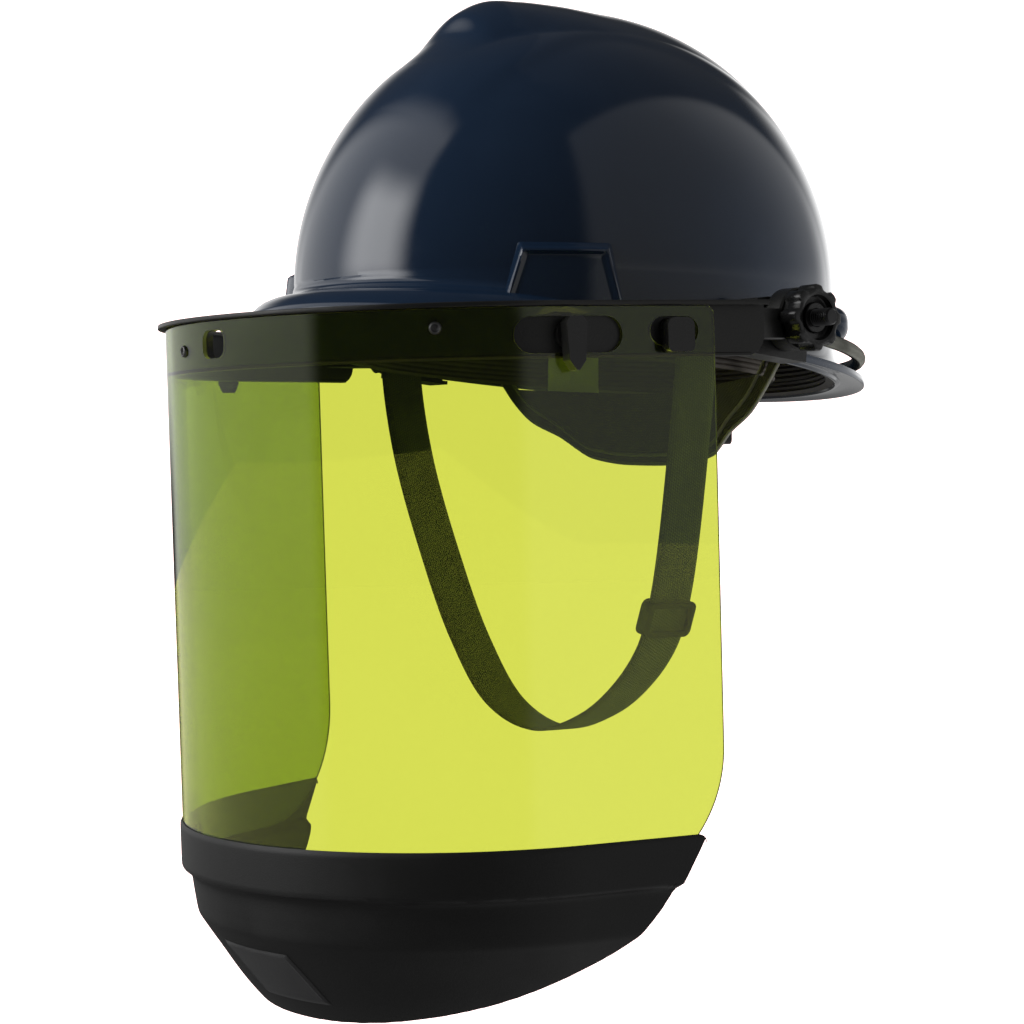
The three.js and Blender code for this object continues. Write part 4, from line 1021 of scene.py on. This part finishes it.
for side in ("left", "right"):
    dress(f"turn_lever_{side}", knob_black, 0.7)
    dress(f"stud_{side}", knob_black, 0.8)
tubular_rivet("rivet_front", FRONT_RIVET.s, FRONT_RIVET.z)
tubular_rivet("rivet_left", SIDE_RIVET.s, SIDE_RIVET.z)
tubular_rivet("rivet_right", -SIDE_RIVET.s, SIDE_RIVET.z)


# Chin cup. A matt black moulding whose lip wraps the visor's lower edge and whose body leans in under
# the chin, riveted to the sheet at both sides, with a bare panel on the front.
CUP_DEPTH = [186, 186.6, 187.6, 203.2, 204.2, 205.9, 207, 216, 222.5, 225.5, 235, 249, 262]
CUP_INSET = [0.5, 0.1, -0.1, 0.0, 0.3, 2.9, 3.6, 5.0, 6.1, 7.8, 14, 23.3, 33.8]
CUP_WALL = [0.3, 0.6, 0.7, 0.7, 0.9, 2.2, 2.4, 2.6, 2.6, 2.6, 2.6, 2.6, 2.6]
CUP_TOP, CUP_LOW = CUP_DEPTH[0], CUP_DEPTH[-1]
CUP_CORNER = 3.0
CUP_STEP = 0.25
CUP_CROWDING = math.pi / 2 * 0.94
EDGE_Y = [-200, -172, -152, -129, -96, -75, -64, -57, -47]
EDGE_DEPTH = [260, 259, 258.4, 252.4, 239.2, 226.4, 214, 202, 184]


def cup_end(s):
    """How deep the cup reaches at a station, where its rear edge cuts it off in side view."""
    depth = np.linspace(CUP_TOP, CUP_LOW, 400)
    y = upright_outline(s, eased(CUP_DEPTH, CUP_INSET, depth), 0)[:, 1]
    past = depth > eased(EDGE_Y, EDGE_DEPTH, y)
    return depth[np.argmax(past)] if past.any() else depth[-1]


cup_reach = ARC_END
while cup_end(cup_reach + CUP_STEP) > CUP_TOP + 0.4:
    cup_reach += CUP_STEP
cup_stations = cup_reach * np.sin(np.linspace(-1, 1, 190) * CUP_CROWDING) / math.sin(CUP_CROWDING)
cup_share = np.linspace(0, 1, 60)
cup_front, cup_back = [], []
for s in cup_stations:
    past_corner = min(max(abs(s) - cup_reach + CUP_CORNER, 0) / CUP_CORNER, 1)
    top = CUP_TOP + CUP_CORNER * (1 - math.sqrt(1 - past_corner**2))
    depth = top + (max(cup_end(s), top + 0.2) - top) * cup_share
    inset = eased(CUP_DEPTH, CUP_INSET, depth)
    cup_front.append(on_outline(s, inset, -depth))
    cup_back.append(on_outline(s, inset + eased(CUP_DEPTH, CUP_WALL, depth), -depth))
cup_points, cup_faces = thick_patch(np.array(cup_front), np.array(cup_back))
cup_black = plastic("cup_black", (0.005, 0.005, 0.0049), (0.009, 0.009, 0.0088), 0.5, 0.62, 2200, 0.1)
make_piece("chin_guard", cup_points, cup_faces, cup_black, "shield", ["chin_cup"])


PANEL = Sizes(start=-14, width=48, lean=12, low=250, height=21, proud=0.7, off=0.05)
PANEL_EDGE = Sizes(slope=1.2, corner=0.3, bead=0.25, bead_in=1.6, bead_width=0.7)


def panel_face(proud, bead):
    """One face of the panel, on the cup's outer face, with a low bead inside its border."""
    across, up = np.meshgrid(np.linspace(0, 1, 60), np.linspace(0, 1, 30))
    s = PANEL.start + PANEL.width * across - PANEL.lean * up
    depth = PANEL.low - PANEL.height * up
    to_sides = np.minimum(across, 1 - across) * PANEL.width
    border = np.minimum(to_sides, np.minimum(up, 1 - up) * PANEL.height)
    lift = proud * rounded_step(border / PANEL_EDGE.slope, PANEL_EDGE.corner)
    lift = lift + bead * np.exp(-(((border - PANEL_EDGE.bead_in) / PANEL_EDGE.bead_width) ** 2))
    return on_outline(s, eased(CUP_DEPTH, CUP_INSET, depth) - PANEL.off - lift, -depth)


panel_points, panel_faces = thick_patch(panel_face(PANEL.proud, PANEL_EDGE.bead), panel_face(0.0, 0.0))
panel_black = plastic("panel_black", (0.035, 0.035, 0.036), (0.055, 0.055, 0.055), 0.38, 0.5, 1200, 0.15)
make_piece("bare_panel", panel_points, panel_faces, panel_black, "shield", ["cup_panel"])
for side in ("left", "right"):
    dress(f"cup_rivet_{side}", rivet_steel, 0.5)
